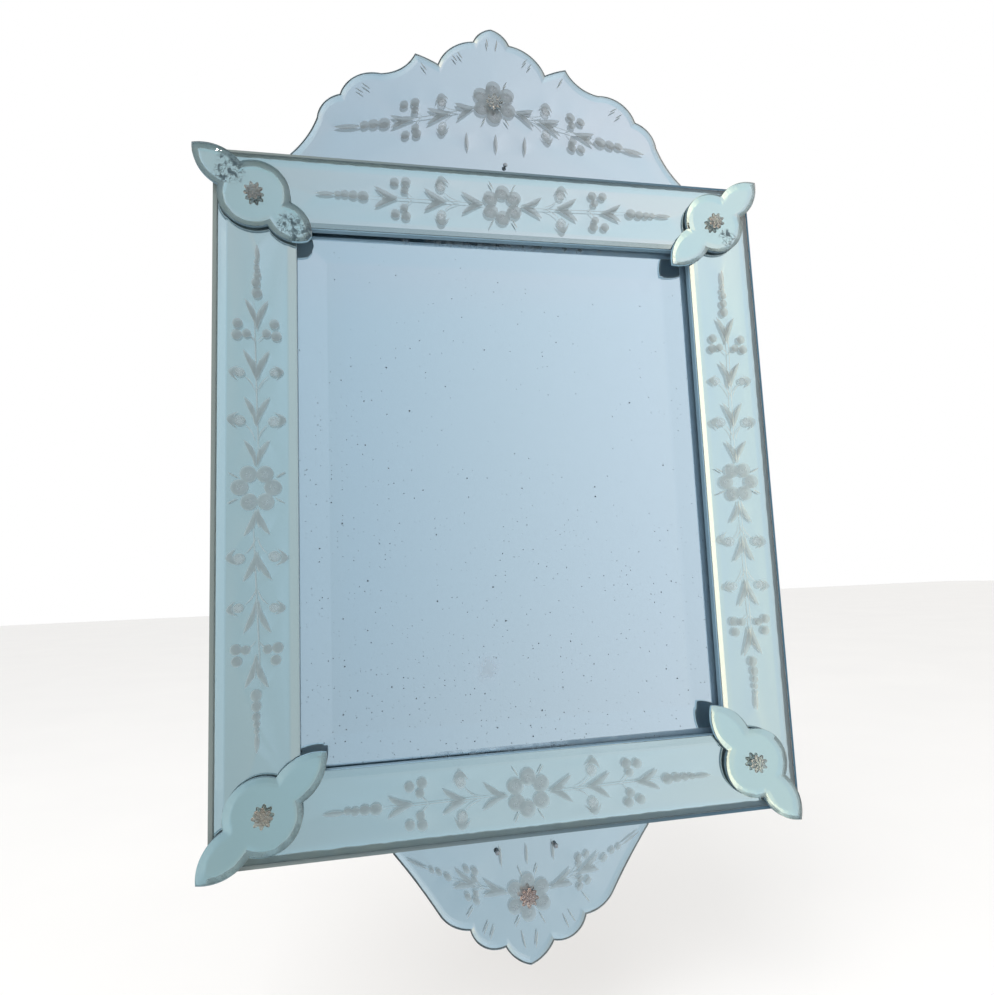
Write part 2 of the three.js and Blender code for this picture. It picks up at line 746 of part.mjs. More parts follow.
function addCentreMirror() {
  const [x, y] = [frameHalfWidth, frameHalfHeight].map((half) => half - stripWidth + centreHiddenEdge);
  const outline = [[-x, -y], [x, -y], [x, y], [-x, y]];
  const bevel = { width: centreBevelWidth, drop: centreBevelDrop };
  add('centre_mirror', bevelledPlate(outline, centre, bevel), centreFinish());
}

function addScallopedPlates() {
  const bevel = { width: scallopBevelWidth, drop: scallopBevelDrop };
  const [below, above] = [scallop.back - cutThrough, scallop.front + cutThrough];
  const holes = (...names) => names.map((name) => pinHole(name, below, above));
  const crest = engrave(bevelledPlate(crestOutline(), scallop, bevel), crestCuts(), scallop.front);
  const pendant = engrave(bevelledPlate(pendantOutline(), scallop, bevel), pendantCuts(), scallop.front);
  add('crest_plate', cutAway(crest, ...holes('crest_pin')), scallopFinish());
  add('pendant_plate', cutAway(pendant, ...holes('pendant_pin_left', 'pendant_pin_right')), scallopFinish());
  for (const [name, place] of Object.entries(pinPlaces)) {
    add(name, pinGeometry(place), pinFinish());
  }
}

function addMedallions() {
  const bevel = { width: medallionBevelWidth, drop: medallionBevelDrop };
  for (const [name, { right, up, offset, angle }] of Object.entries(corners)) {
    const cx = right * (frameHalfWidth - medallionFromEdge) + offset[0];
    const cy = up * (frameHalfHeight - medallionFromEdge) + offset[1];
    const outline = medallionOutline().map((point) => shift(turn(point, radians(angle)), [cx, cy]));
    add(`medallion_${name}`, bevelledPlate(outline, medallion, bevel), medallionFinish());
    add(`rosette_${name}`, rosetteGeometry([cx, cy], medallion.front + restGap), rosetteFinish());
  }
  add('rosette_crest', rosetteGeometry([0, crestFlowerY], scallop.front + restGap), rosetteFinish());
  add('rosette_pendant', rosetteGeometry([0, pendantFlowerY], scallop.front + restGap), rosetteFinish());
}

addFrame();
addCentreMirror();
addScallopedPlates();
addMedallions();

// Stand the layout up: front to -Y, top to +Z, the hanging point on the back at the origin.
layout.rotation.x = Math.PI / 2;
layout.position.set(0, board.back, -hangHeight);

const group = new THREE.Group();
group.add(layout);

export default group;
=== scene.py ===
import math
import random
from functools import partialmethod

import bmesh
import bpy
import numpy as np
from bpy.props import FloatProperty, FloatVectorProperty, IntProperty, PointerProperty
from mathutils import Matrix, Vector
from mathutils.geometry import delaunay_2d_cdt


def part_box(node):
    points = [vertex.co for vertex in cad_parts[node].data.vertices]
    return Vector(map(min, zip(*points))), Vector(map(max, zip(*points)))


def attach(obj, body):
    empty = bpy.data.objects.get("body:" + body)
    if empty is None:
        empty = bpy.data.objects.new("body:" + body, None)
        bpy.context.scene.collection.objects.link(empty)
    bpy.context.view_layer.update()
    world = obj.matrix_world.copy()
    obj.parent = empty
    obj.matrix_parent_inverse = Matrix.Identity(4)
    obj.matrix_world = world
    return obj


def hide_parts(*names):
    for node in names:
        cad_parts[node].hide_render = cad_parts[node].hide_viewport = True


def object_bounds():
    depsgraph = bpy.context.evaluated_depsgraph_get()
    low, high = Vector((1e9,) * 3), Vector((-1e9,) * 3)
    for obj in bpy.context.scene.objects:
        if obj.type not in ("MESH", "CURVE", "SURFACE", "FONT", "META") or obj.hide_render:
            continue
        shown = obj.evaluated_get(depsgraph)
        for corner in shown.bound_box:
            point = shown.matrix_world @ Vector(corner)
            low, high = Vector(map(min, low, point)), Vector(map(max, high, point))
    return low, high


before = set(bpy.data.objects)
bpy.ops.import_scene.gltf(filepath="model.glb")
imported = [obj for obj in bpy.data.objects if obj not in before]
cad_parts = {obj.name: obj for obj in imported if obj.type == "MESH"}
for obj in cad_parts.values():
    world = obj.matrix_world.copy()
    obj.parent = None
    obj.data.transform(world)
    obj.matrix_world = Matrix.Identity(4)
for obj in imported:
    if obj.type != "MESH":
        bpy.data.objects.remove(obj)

bl_info = {
    "name": "Engraved wall mirror",
    "version": (1, 0, 0),
    "blender": (4, 5, 0),
    "location": "3D View > Sidebar > Mirror",
    "description": "Glass, silvering, engraving and woodwork of a wall mirror around its packed frame",
    "category": "Object",
}

CAD_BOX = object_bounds()
MM = 0.001

# The drawing of the mirror is in millimetres as seen from the front: X right, Y up and Z towards the viewer,
# with the origin at the middle of the border strips and Z = 0 on their front. The frame places it.
STRIP_FRONT = -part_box("strip_top")[0].y / MM
FRAME_MIDDLE = (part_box("strip_top")[1].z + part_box("strip_bottom")[0].z) / 2 / MM


def place(x, y, z):
    """A point of the drawing, in the frame's metres."""
    return Vector((x, -z - STRIP_FRONT, y + FRAME_MIDDLE)) * MM


def drawn_box(node):
    """The lowest and highest corners of a CAD node, in the drawing's millimetres."""
    low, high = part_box(node)
    return (
        Vector((low.x / MM, low.z / MM - FRAME_MIDDLE, -high.y / MM - STRIP_FRONT)),
        Vector((high.x / MM, high.z / MM - FRAME_MIDDLE, -low.y / MM - STRIP_FRONT)),
    )


# Sizes and colours that a user would change


def length_setting(name, description, millimetres):
    return FloatProperty(name=name, description=description, default=millimetres * MM, unit="LENGTH")


def vector_setting(name, description, value, subtype="COLOR"):
    return FloatVectorProperty(name=name, description=description, default=value, subtype=subtype)


class GlassSizes(bpy.types.PropertyGroup):
    strip_bevel: length_setting("Strip bevel", "Width of the bevel along a border strip", 7)
    strip_drop: length_setting("Strip bevel drop", "How far a strip's bevel falls to its edge", 1.6)
    centre_bevel: length_setting("Centre bevel", "Width of the centre mirror's bevel", 25)
    centre_drop: length_setting("Centre bevel drop", "How far the centre mirror's bevel falls", 1.7)
    scallop_bevel: length_setting("Scallop bevel", "Width of the bevel on the crest and the pendant", 4.5)
    scallop_drop: length_setting("Scallop bevel drop", "How far that bevel falls to the edge", 1.8)
    medallion_bevel: length_setting("Medallion bevel", "Width of the bevel on a corner medallion", 6)
    medallion_drop: length_setting("Medallion bevel drop", "How far a medallion's bevel falls", 1.35)
    arris: length_setting("Arris", "Small chamfer where a bevel meets the edge of the glass", 0.25)
    cut_depth: length_setting("Cut depth", "Depth of the wheel-cut engraving", 0.28)
    coat_gap: length_setting("Coat gap", "From the back of the glass to the silvering", 0.03)
    coat_thickness: length_setting("Coat thickness", "Silvering and its backing paint", 0.12)


class FlowerSizes(bpy.types.PropertyGroup):
    petals: IntProperty(name="Petals", description="Petals in each ring of a rosette", default=8, min=3)
    radius: length_setting("Rosette radius", "Middle of a rosette to the tip of a petal", 7.4)
    height: length_setting("Rosette height", "Height of a rosette above the glass", 4.5)


class Colours(bpy.types.PropertyGroup):
    centre: vector_setting("Centre glass", "Tint of the centre mirror", (0.93, 0.965, 1.0))
    strip: vector_setting("Strip glass", "Tint of the border strips", (0.91, 0.975, 0.985))
    scallop: vector_setting("Scallop glass", "Tint of the crest and the pendant", (0.90, 0.955, 0.985))
    medallion: vector_setting("Medallion glass", "Tint of the corner medallions", (0.86, 0.96, 0.965))
    engraving: vector_setting("Engraving", "Tint of the ground cuts", (0.75, 0.80, 0.80))
    paint: vector_setting("Rail paint", "Paint on the wooden rails", (0.05, 0.11, 0.16))
    board: vector_setting("Board", "Bare wood of the board behind", (0.30, 0.20, 0.12))


class StageSizes(bpy.types.PropertyGroup):
    eye: vector_setting(
        "Camera", "Where the photograph was taken from", (-0.1231, -0.5468, -0.2740), "TRANSLATION")
    forward: vector_setting("View", "The way that the camera looks", (0.2019, 0.9722, 0.1189), "DIRECTION")
    upward: vector_setting("Up", "The camera's own up", (0.0162, -0.1247, 0.9921), "DIRECTION")
    lens: FloatProperty(
        name="Lens", description="Focal length for a sensor 36 mm wide, in millimetres", default=25.26)
    floor_drop: length_setting("Floor", "From the pendant's tip down to the floor", 100)


# Plane outlines, as lists of (x, y) in the drawing's millimetres


def turned(point, degrees):
    c, s = math.cos(math.radians(degrees)), math.sin(math.radians(degrees))
    return (point[0] * c - point[1] * s, point[0] * s + point[1] * c)


def shifted(point, offset):
    return (point[0] + offset[0], point[1] + offset[1])


def arc(start, end, bulge, pitch=1.6):
    """Points after the start of an arc that leaves its chord by bulge, to the left of its direction."""
    dx, dy = end[0] - start[0], end[1] - start[1]
    chord = math.hypot(dx, dy)
    steps = max(3, round(chord / pitch))
    radius = (chord * chord / 4 + bulge * bulge) / (2 * bulge)
    half = 2 * math.atan(2 * bulge / chord)
    points = []
    for i in range(1, steps + 1):
        angle = -half + 2 * half * i / steps
        along = chord / 2 + radius * math.sin(angle)
        away = radius * math.cos(angle) - (radius - bulge)
        points.append(shifted(start, ((dx * along - dy * away) / chord, (dy * along + dx * away) / chord)))
    return points


def distance_to(points, outline):
    """Each point's distance to a closed outline, as an array."""
    p = np.asarray(points, float)[:, None, :]
    a = np.asarray(outline, float)
    d = np.roll(a, -1, axis=0) - a
    share = np.clip(((p - a) * d).sum(-1) / np.maximum((d * d).sum(-1), 1e-12), 0, 1)
    return np.linalg.norm(p - a - share[..., None] * d, axis=-1).min(axis=1)


def inside(points, outline):
    """Whether each point is inside a closed outline, as an array."""
    p = np.asarray(points, float)
    a = np.asarray(outline, float)
    b = np.roll(a, -1, axis=0)
    x, y = p[:, 0][:, None], p[:, 1][:, None]
    spans = (a[:, 1] > y) != (b[:, 1] > y)
    rise = np.where(b[:, 1] == a[:, 1], 1, b[:, 1] - a[:, 1])
    crossing = (b[:, 0] - a[:, 0]) * (y - a[:, 1]) / rise + a[:, 0]
    return (spans & (x < crossing)).sum(axis=1) % 2 == 1


CROSSING_LIMIT = 0.985


def moved_in(ring, width, uneven=0.0):
    """The ring's corners moved in along their bisectors, with None where two scallops' bevels would cross.

    An uneven width is hand-ground: it wanders from corner to corner by up to that share.
    """
    count = len(ring)
    chance = random.Random(count)
    widths = [width * (1 - uneven * chance.random()) for _ in ring]
    moved = []
    for i, (x, y) in enumerate(ring):
        px, py = ring[i - 1]
        nx, ny = ring[(i + 1) % count]
        before, after = math.hypot(x - px, y - py), math.hypot(nx - x, ny - y)
        normal_x = -(y - py) / before - (ny - y) / after
        normal_y = (x - px) / before + (nx - x) / after
        scale = 2 * widths[i] / (normal_x**2 + normal_y**2)
        moved.append((x + normal_x * scale, y + normal_y * scale))
    kept = distance_to(moved, ring) > CROSSING_LIMIT * np.array(widths)
    return [point if keep else None for point, keep in zip(moved, kept)]


def partners(moved):
    """For each corner, the kept inner corner that it slopes to: its own, or the nearer of its neighbours'."""
    count = len(moved)
    place_of = {i: order for order, i in enumerate(i for i, point in enumerate(moved) if point)}
    found = []
    for i in range(count):
        near = next(j % count for step in range(count) for j in (i - step, i + step) if j % count in place_of)
        found.append(place_of[near])
    return found


# Meshes


# The triangulation's mode that keeps what is inside the outlines, and how near points are merged
INNER_FACES = 1
SHEET_MERGE = 1e-6
CUT_MERGE = 1e-5
POINT_MERGE = 1e-3 * MM


def unworn(_point):
    return 0.0


def worn_through(_point):
    return 1.0


class Body:
    """Triangles and polygons of a piece, in the drawing's millimetres, each with a material."""

    def __init__(self, materials):
        self.materials = materials
        self.points, self.faces, self.finishes, self.cuts, self.frost = [], [], [], [], []

    def face(self, corners, finish, cuts=None, frost=None):
        first = len(self.points)
        self.points.extend(corners)
        self.cuts.extend(cuts or [0.0] * len(corners))
        self.frost.extend(frost or [0.0] * len(corners))
        self.faces.append(list(range(first, first + len(corners))))
        self.finishes.append(finish)

    def walls(self, ring, low, high, finish, worn=unworn):
        for p, q in zip(ring, ring[1:] + ring[:1]):
            corners = [(*p, low), (*q, low), (*q, high), (*p, high)]
            self.face(corners, finish, [worn(corner) for corner in corners])

    def step_in(self, ring, level, width, inner_level, finish, uneven=0.0, worn=(unworn, unworn)):
        """A sloping band to a ring inside this one, which it returns. Its two edges are worn as worn says."""
        moved = moved_in(ring, width, uneven)
        inner = [point for point in moved if point]
        partner = partners(moved)
        at_ring, at_inner = worn
        for i, outer in enumerate(ring):
            j = (i + 1) % len(ring)
            for k in range(partner[i], partner[i] + (partner[j] - partner[i]) % len(inner)):
                high0, high1 = inner[k % len(inner)], inner[(k + 1) % len(inner)]
                self.face([(*outer, level), (*high1, inner_level), (*high0, inner_level)], finish,
                          [at_ring(outer), at_inner(high1), at_inner(high0)])
            near = inner[partner[j]]
            self.face([(*outer, level), (*ring[j], level), (*near, inner_level)], finish,
                      [at_ring(outer), at_ring(ring[j]), at_inner(near)])
        return inner

    def sheet(self, ring, level, finish, upward=True):
        """A flat face inside a ring."""
        points, _, faces, *_ = delaunay_2d_cdt(
            [Vector(p) for p in ring], [], [list(range(len(ring)))], INNER_FACES, SHEET_MERGE)
        for corners in faces:
            corners = corners if upward else reversed(corners)
            self.face([(*points[i], level) for i in corners], finish)

    def engraved_sheet(self, ring, level, cuts, depth, plain, ground):
        """A flat face inside a ring, with cuts that dish down into it."""
        cuts = [kept_inside(cut, ring) for cut in cuts]
        coordinates, edges, outlines = list(ring), [], [list(range(len(ring)))]
        for cut in cuts:
            first = len(coordinates)
            coordinates.extend(cut["outline"])
            outlines.append(list(range(first, len(coordinates))))
            for inner in cut["inner"]:
                first = len(coordinates)
                coordinates.extend(inner)
                edges.extend((i, i + 1) for i in range(first, len(coordinates) - 1))
        points, _, faces, _, _, origins = delaunay_2d_cdt(
            [Vector(p) for p in coordinates], edges, outlines, INNER_FACES, CUT_MERGE)
        share, frost = cut_shares(points, cuts)
        for corners, origin in zip(faces, origins):
            finish = ground if any(i > 0 for i in origin) else plain
            self.face([(*points[i], level - depth * share[i]) for i in corners], finish,
                      [share[i] for i in corners], [frost[i] for i in corners])

    def finished(self, name, node, slot, smooth=12):
        """The piece as an object that stands for a CAD node."""
        mesh = bpy.data.meshes.new(name)
        mesh.from_pydata([place(*p) for p in self.points], [], self.faces)
        for material in self.materials:
            mesh.materials.append(material)
        mesh.polygons.foreach_set("material_index", self.finishes)
        for attribute, values in (("cut", self.cuts), ("frost", self.frost)):
            mesh.attributes.new(attribute, "FLOAT", "POINT").data.foreach_set("value", values)
        merge = bmesh.new()
        merge.from_mesh(mesh)
        bmesh.ops.remove_doubles(merge, verts=merge.verts, dist=POINT_MERGE)
        merge.to_mesh(mesh)
        merge.free()
        mesh.shade_smooth()
        mesh.set_sharp_from_angle(angle=math.radians(smooth))
        fitted(name, mesh, node)


def new_object(name, data):
    made = bpy.data.objects.new(name, data)
    bpy.context.scene.collection.objects.link(made)
    return made


def fitted(name, mesh, node):
    """An object for a finished mesh, riding on the frame in place of its CAD node."""
    piece = new_object(name, mesh)
    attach(piece, "root")
    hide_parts(node)


ON_OUTLINE = 0.02
REACH_MARGIN = 0.01


def cut_shares(points, cuts):
    """How deep each point lies, from 0 on the surface to 1 in the middle of a cut, and how frosted it is."""
    p = np.array([(q[0], q[1]) for q in points])
    share, frost = np.zeros(len(p)), np.zeros(len(p))
    for cut in cuts:
        outline = np.array(cut["outline"])
        low, high = outline.min(axis=0) - REACH_MARGIN, outline.max(axis=0) + REACH_MARGIN
        near = np.flatnonzero(((p >= low) & (p <= high)).all(axis=1))
        if len(near) == 0:
            continue
        away = distance_to(p[near], outline)
        reach = np.minimum(away / cut["half"], 1)
        within = inside(p[near], outline) | (reach < ON_OUTLINE)
        dish = np.where(within & (reach >= ON_OUTLINE), reach * (2 - reach), 0)
        share[near] = np.maximum(share[near], dish * cut["depth"])
        frost[near] = np.maximum(frost[near], np.where(within, 1 - cut["clear"] * reach, 0))
    return share.tolist(), frost.tolist()


# Wheel cuts. Each has an outline, inner lines that carry its hollow, half its width, a share of full depth
# and how clear its middle is worn.

LEAF_STEPS = 8
LEAF_FULLNESS = 0.8


def leaf_cut(start, end, width, bend=0.0, depth=1.0, late=1.0):
    """A slender stroke that ends in two points, widest past its middle where late is over 1."""
    dx, dy = end[0] - start[0], end[1] - start[1]
    length = math.hypot(dx, dy)
    shares = [i / LEAF_STEPS for i in range(LEAF_STEPS + 1)]

    def at(share, side):
        away = bend * 4 * share * (1 - share) + side
        return (start[0] + dx * share - dy / length * away, start[1] + dy * share + dx / length * away)

    def swell(share):
        return width / 2 * math.sin(math.pi * share**late) ** LEAF_FULLNESS

    right = [at(share, -swell(share)) for share in shares[:-1]]
    left = [at(share, swell(share)) for share in shares[:0:-1]]
    spine = [at(share, 0) for share in shares[1:-1]]
    return {"outline": right + left, "inner": [spine], "half": width / 2, "depth": depth, "clear": 0.15}


def stem_cut(start, end, width, bend=0.0):
    """A thin, shallow line."""
    return {**leaf_cut(start, end, width, bend, depth=0.4), "clear": 0.5}


def round_cut(middle, radius, stretch=1.0, angle=0.0, depth=1.0, sides=20):
    """A dimple, longer along angle than across it."""
    def ring(share):
        corners = [(share * radius * stretch * math.cos(math.tau * i / sides),
                    share * radius * math.sin(math.tau * i / sides)) for i in range(sides)]
        return [shifted(turned(corner, angle), middle) for corner in corners]

    inner = [ring(share) + ring(share)[:1] for share in (0.72, 0.38)]
    return {"outline": ring(1), "inner": inner, "half": radius, "depth": depth, "clear": 0.12}


def tulip_cuts(middle, size, angle):
    """A tulip head seen from the side, opening along angle: a faint, clear oval cupped by a crescent."""
    def put(x, y):
        return shifted(turned((x * size, y * size), angle), middle)

    oval = round_cut(put(-0.08, 0), radius=0.36 * size, stretch=1.12, angle=angle, depth=0.3)
    crescent = leaf_cut(put(0.0, -0.56), put(0.0, 0.56), width=0.42 * size, bend=-0.52 * size, depth=0.8)
    return [{**oval, "clear": 0.85}, crescent]


def remapped(cut, move):
    """The same cut with every point moved, kept anticlockwise."""
    outline = [move(p) for p in cut["outline"]]
    area = sum(x0 * y1 - x1 * y0 for (x0, y0), (x1, y1) in zip(outline, outline[1:] + outline[:1]))
    if area < 0:
        outline.reverse()
    return {**cut, "outline": outline, "inner": [[move(p) for p in line] for line in cut["inner"]]}


INWARD_STEPS = 12
LEFT_PLAIN = 0.15


def kept_inside(cut, ring):
    """The cut, moved towards the middle of the ring until a plain hair's breadth is left beside it."""
    middle = np.mean(ring, axis=0)
    for _ in range(INWARD_STEPS):
        outline = np.array(cut["outline"])
        if inside(outline, ring).all() and distance_to(outline, ring).min() > LEFT_PLAIN:
            return cut
        way = middle - outline.mean(axis=0)
        step = tuple(way / np.linalg.norm(way))
        cut = remapped(cut, lambda p: shifted(p, step))
    raise ValueError("a cut lies outside its plate")


PETALS = 6
RAY_FROM = 3.5
RAY_TO = 11.5
STROKE = 1.3
STEM = 0.9


def flower(petal, ring, rays):
    """Round petals about a plain middle, and rays between some of them."""
    cuts = []
    for i in range(PETALS):
        angle = 90 + 360 * i / PETALS
        dimple = round_cut(turned((ring, 0), angle), petal, stretch=1.06, angle=angle, sides=24)
        cuts.append({**dimple, "clear": 0.4})
    for angle in rays:
        foot, tip = turned((ring + RAY_FROM, 0), angle), turned((ring + RAY_TO, 0), angle)
        cuts.append(leaf_cut(foot, tip, STROKE))
    return cuts


# Each berry of a bunch: how far along and away from the stem, and its radius
BERRIES = ((-3.5, 7.4, 3.3), (-4.8, 14.2, 3.9), (4, 13.2, 3.7))


def spray(plan):
    """Leaves in pairs, tulips, bunches of berries and a chain of beads along +X from a flower.

    A pair has its start, end and spread. A tulip has its place along, its distance away and its size. The
    chain has its first bead's place, its number of beads, their pitch and radius, and the length of its tip.
    """
    cuts = []
    berry = plan.get("berry", 1.0)
    for start, end, spread in plan["pairs"]:
        length = end - start
        for side in (-1, 1):
            leaf_end = (end, side * spread)
            cuts.append(leaf_cut((start, side * 0.5), leaf_end, width=4.1, bend=side * -1.7, late=1.35))
            inner_end = (start + 0.72 * length, side * 0.26 * spread)
            cuts.append(leaf_cut((start + 0.5, side * 0.3), inner_end, width=2.6, late=1.2))
    for at, away, size in plan["tulips"]:
        for side in (-1, 1):
            cuts += tulip_cuts((at, side * away), size, side * 82)
            foot = (at - 2, side * (away - 0.4 * size))
            cuts.append(stem_cut((at - 15, side * 0.8), foot, STEM, bend=side * -1.6))
    for at in plan["berries"]:
        for side in (-1, 1):
            for along, away, radius in BERRIES:
                cuts.append(round_cut((at + berry * along, side * berry * away), berry * radius))
            foot = (at - 2, side * 10 * berry)
            cuts.append(stem_cut((at - 10, side * 0.4), foot, STEM, bend=side * -0.8))
    bead, count, pitch, radius, tip = plan["chain"]
    cuts.append(stem_cut((plan["pairs"][0][0] - 2, 0), (bead, 0), 0.8))
    for i in range(count):
        shrink = 1 - 0.13 * i
        cuts.append(round_cut((bead, 0), radius * shrink, stretch=1.12))
        bead += pitch * (shrink - 0.06)
    cuts.append(leaf_cut((bead - radius, 0), (bead + tip, 0), radius * 0.9))
    return cuts


def all_remapped(cuts, move):
    return [remapped(cut, move) for cut in cuts]


def both_ways(cuts):
    return cuts + all_remapped(cuts, lambda p: (-p[0], p[1]))


def flipped(cuts):
    return all_remapped(cuts, lambda p: (p[0], -p[1]))


def by_hand(cuts, seed, slip=0.35, lean=1.6):
    """Each cut a little off its drawn place and turn, as a wheel held by hand leaves it."""
    chance = random.Random(seed)
    result = []
    for cut in cuts:
        middle = tuple(np.mean(cut["outline"], axis=0))
        offset = (chance.gauss(0, slip), chance.gauss(0, slip))
        angle = chance.gauss(0, lean)

        def move(p, middle=middle, offset=offset, angle=angle):
            return shifted(shifted(turned(shifted(p, (-middle[0], -middle[1])), angle), middle), offset)

        result.append(remapped(cut, move))
    return result


HORIZONTAL_SPRAY = {
    "pairs": [(15, 34, 9.5), (45, 64, 9.5), (84, 103, 8)],
    "tulips": [(50, 13, 11)],
    "berries": [83],
    "chain": (111, 4, 8.2, 4.0, 12),
}
VERTICAL_SPRAY = {
    "pairs": [(15, 35, 9.5), (45, 67, 9.5), (80, 103, 9.5), (118, 142, 8)],
    "tulips": [(50, 13, 11), (86, 13, 9.5)],
    "berries": [119],
    "chain": (147, 5, 8.0, 3.8, 11),
}
CREST_SPRAY = {
    "pairs": [(17, 34, 8), (37, 58, 7.5), (68, 88, 6)],
    "tulips": [(45, 11.5, 10.5)],
    "berries": [72],
    "chain": (93, 3, 9.6, 4.6, 18),
    "fall": 0.36,
    "curve": -0.0007,
}
PENDANT_SPRAY = {
    "pairs": [(15, 34, 6), (37, 56, 6.5)],
    "tulips": [],
    "berries": [43],
    "chain": (60, 3, 7.0, 2.6, 14),
    "berry": 0.72,
    "fall": -0.25,
    "curve": -0.0018,
}


def bent(plan):
    """A plan's spray, falling and curving away from its flower."""
    return all_remapped(spray(plan), lambda p: (p[0], p[1] - plan["fall"] * p[0] - plan["curve"] * p[0] ** 2))


def moved_to(cuts, offset):
    return all_remapped(cuts, lambda p: shifted(p, offset))


# Shader node groups and materials


class Wiring:
    """Adds nodes to a tree and joins them, so that a material reads from top to bottom."""

    def __init__(self, tree):
        self.tree = tree

    def put(self, node, socket, value):
        entry = node.inputs[socket]
        if isinstance(value, bpy.types.NodeSocket):
            self.tree.links.new(value, entry)
        else:
            entry.default_value = (*value, 1) if entry.type == "RGBA" else value

    def feed(self, node, **sockets):
        for name, value in sockets.items():
            self.put(node, name.replace("_", " "), value)

    def add(self, kind, settings=None, **sockets):
        node = self.tree.nodes.new(kind)
        for key, value in (settings or {}).items():
            setattr(node, key, value)
        self.feed(node, **sockets)
        return node

    def maths(self, operation, a, b=0.0, clamp=False):
        node = self.add("ShaderNodeMath", {"operation": operation, "use_clamp": clamp})
        self.put(node, 0, a)
        self.put(node, 1, b)
        return node.outputs[0]

    plus = partialmethod(maths, "ADD")
    minus = partialmethod(maths, "SUBTRACT")
    times = partialmethod(maths, "MULTIPLY")
    over = partialmethod(maths, "DIVIDE")
    larger = partialmethod(maths, "MAXIMUM")
    less_than = partialmethod(maths, "LESS_THAN")
    unsigned = partialmethod(maths, "ABSOLUTE")

    def past(self, value, threshold, gain):
        """How far a value is past a threshold, times the gain, kept from 0 to 1."""
        return self.times(self.minus(value, threshold), gain, True)

    def distance(self, a, b):
        node = self.add("ShaderNodeVectorMath", {"operation": "DISTANCE"})
        self.put(node, 0, a)
        self.put(node, 1, b)
        return node.outputs["Value"]

    def split(self, vector):
        return self.add("ShaderNodeSeparateXYZ", Vector=vector).outputs

    def mixed(self, share, a, b, blend="MIX"):
        node = self.add("ShaderNodeMix", {"data_type": "RGBA", "blend_type": blend})
        for index, value in ((0, share), (6, a), (7, b)):
            self.put(node, index, value)
        return node.outputs[2]

    def ramp(self, share, stops):
        node = self.add("ShaderNodeValToRGB", Fac=share)
        elements = node.color_ramp.elements
        while len(elements) < len(stops):
            elements.new(0.5)
        for element, (position, colour) in zip(elements, stops):
            element.position = position
            element.color = (*colour, 1)
        return node.outputs["Color"]

    def noise(self, vector, scale, detail=3.0, roughness=0.55):
        node = self.add("ShaderNodeTexNoise", Vector=vector, Scale=scale, Detail=detail, Roughness=roughness)
        return node.outputs["Fac"]

    def bump(self, height, distance, strength):
        return self.add("ShaderNodeBump", Height=height, Distance=distance, Strength=strength).outputs[0]

    def attribute(self, name):
        return self.add("ShaderNodeAttribute", {"attribute_name": name}).outputs["Fac"]

    def placed(self, group, **sockets):
        """A shader group's outputs, with its inputs joined or set."""
        return self.add("ShaderNodeGroup", {"node_tree": bpy.data.node_groups[group]}, **sockets).outputs


def grey(value):
    return (value, value, value)


def new_group(name, inputs, outputs):
    """A shader group's wiring, given sockets and output node. An input without a default is a vector."""
    group = bpy.data.node_groups.new(name, "ShaderNodeTree")
    for socket, default in {"Vector": None, **inputs}.items():
        kind = "NodeSocketVector" if default is None else "NodeSocketFloat"
        made = group.interface.new_socket(socket, in_out="INPUT", socket_type=kind)
        if default is not None:
            made.default_value = default
    for socket in outputs:
        kind = "NodeSocketVector" if socket == "Normal" else "NodeSocketFloat"
        group.interface.new_socket(socket, in_out="OUTPUT", socket_type=kind)
    w = Wiring(group)
    return w, w.add("NodeGroupInput").outputs, w.add("NodeGroupOutput")


def foxing_group():
    """Foxing: round specks, more of them where Amount is high, and a soft cloud."""
    w, given, out = new_group("foxing", {"Amount": 0.5, "Cloud": 0.2}, ["Mask", "Haze"])
    x, _, z = w.split(given["Vector"])
    flat = w.add("ShaderNodeCombineXYZ", X=x, Y=z).outputs[0]
    rare = w.minus(1.3, w.times(given["Amount"], 0.35))
    specks = []
    for scale, small, large in ((115.0, 0.045, 0.06), (260.0, 0.06, 0.08)):
        cells = w.add("ShaderNodeTexVoronoi", {"voronoi_dimensions": "2D"}, Vector=flat, Scale=scale)
        sown = w.add("ShaderNodeSeparateColor", Color=cells.outputs["Color"])
        crowd = w.times(w.noise(flat, 9.0, 2.0), 0.4)
        chosen = w.maths("GREATER_THAN", w.plus(sown.outputs[0], crowd), rare)
        reach = w.times(w.maths("POWER", sown.outputs[1], 2.0), large)
        speck = w.past(w.plus(reach, small), cells.outputs["Distance"], 18.0)
        specks.append(w.times(speck, chosen))
    haze = w.past(w.noise(flat, 11.0, 5.0), w.minus(0.78, given["Cloud"]), 4.0)
    w.feed(out, Mask=w.larger(*specks), Haze=haze)


def crazing_group():
    """A patch of fine cracks and flaked silvering about a place, gone beyond its reach."""
    w, given, out = new_group("crazing", {"Place": None, "Reach": 0.01}, ["Mask"])
    where = given["Vector"]
    away = w.over(w.distance(where, given["Place"]), given["Reach"])
    near = w.past(1.5, w.plus(away, w.noise(where, 150.0, 4.0)), 3.0)
    scatter = w.add("ShaderNodeTexNoise", Vector=where, Scale=180.0).outputs["Color"]
    strayed = w.mixed(0.011, where, scatter, "ADD")
    cells = w.add("ShaderNodeTexVoronoi", {"feature": "DISTANCE_TO_EDGE"}, Vector=strayed, Scale=230.0)
    cracks = w.past(0.055, cells.outputs["Distance"], 18.0)
    flakes = w.past(w.noise(where, 210.0, 5.0, 0.65), 0.5, 12.0)
    w.feed(out, Mask=w.times(near, w.larger(cracks, flakes)))


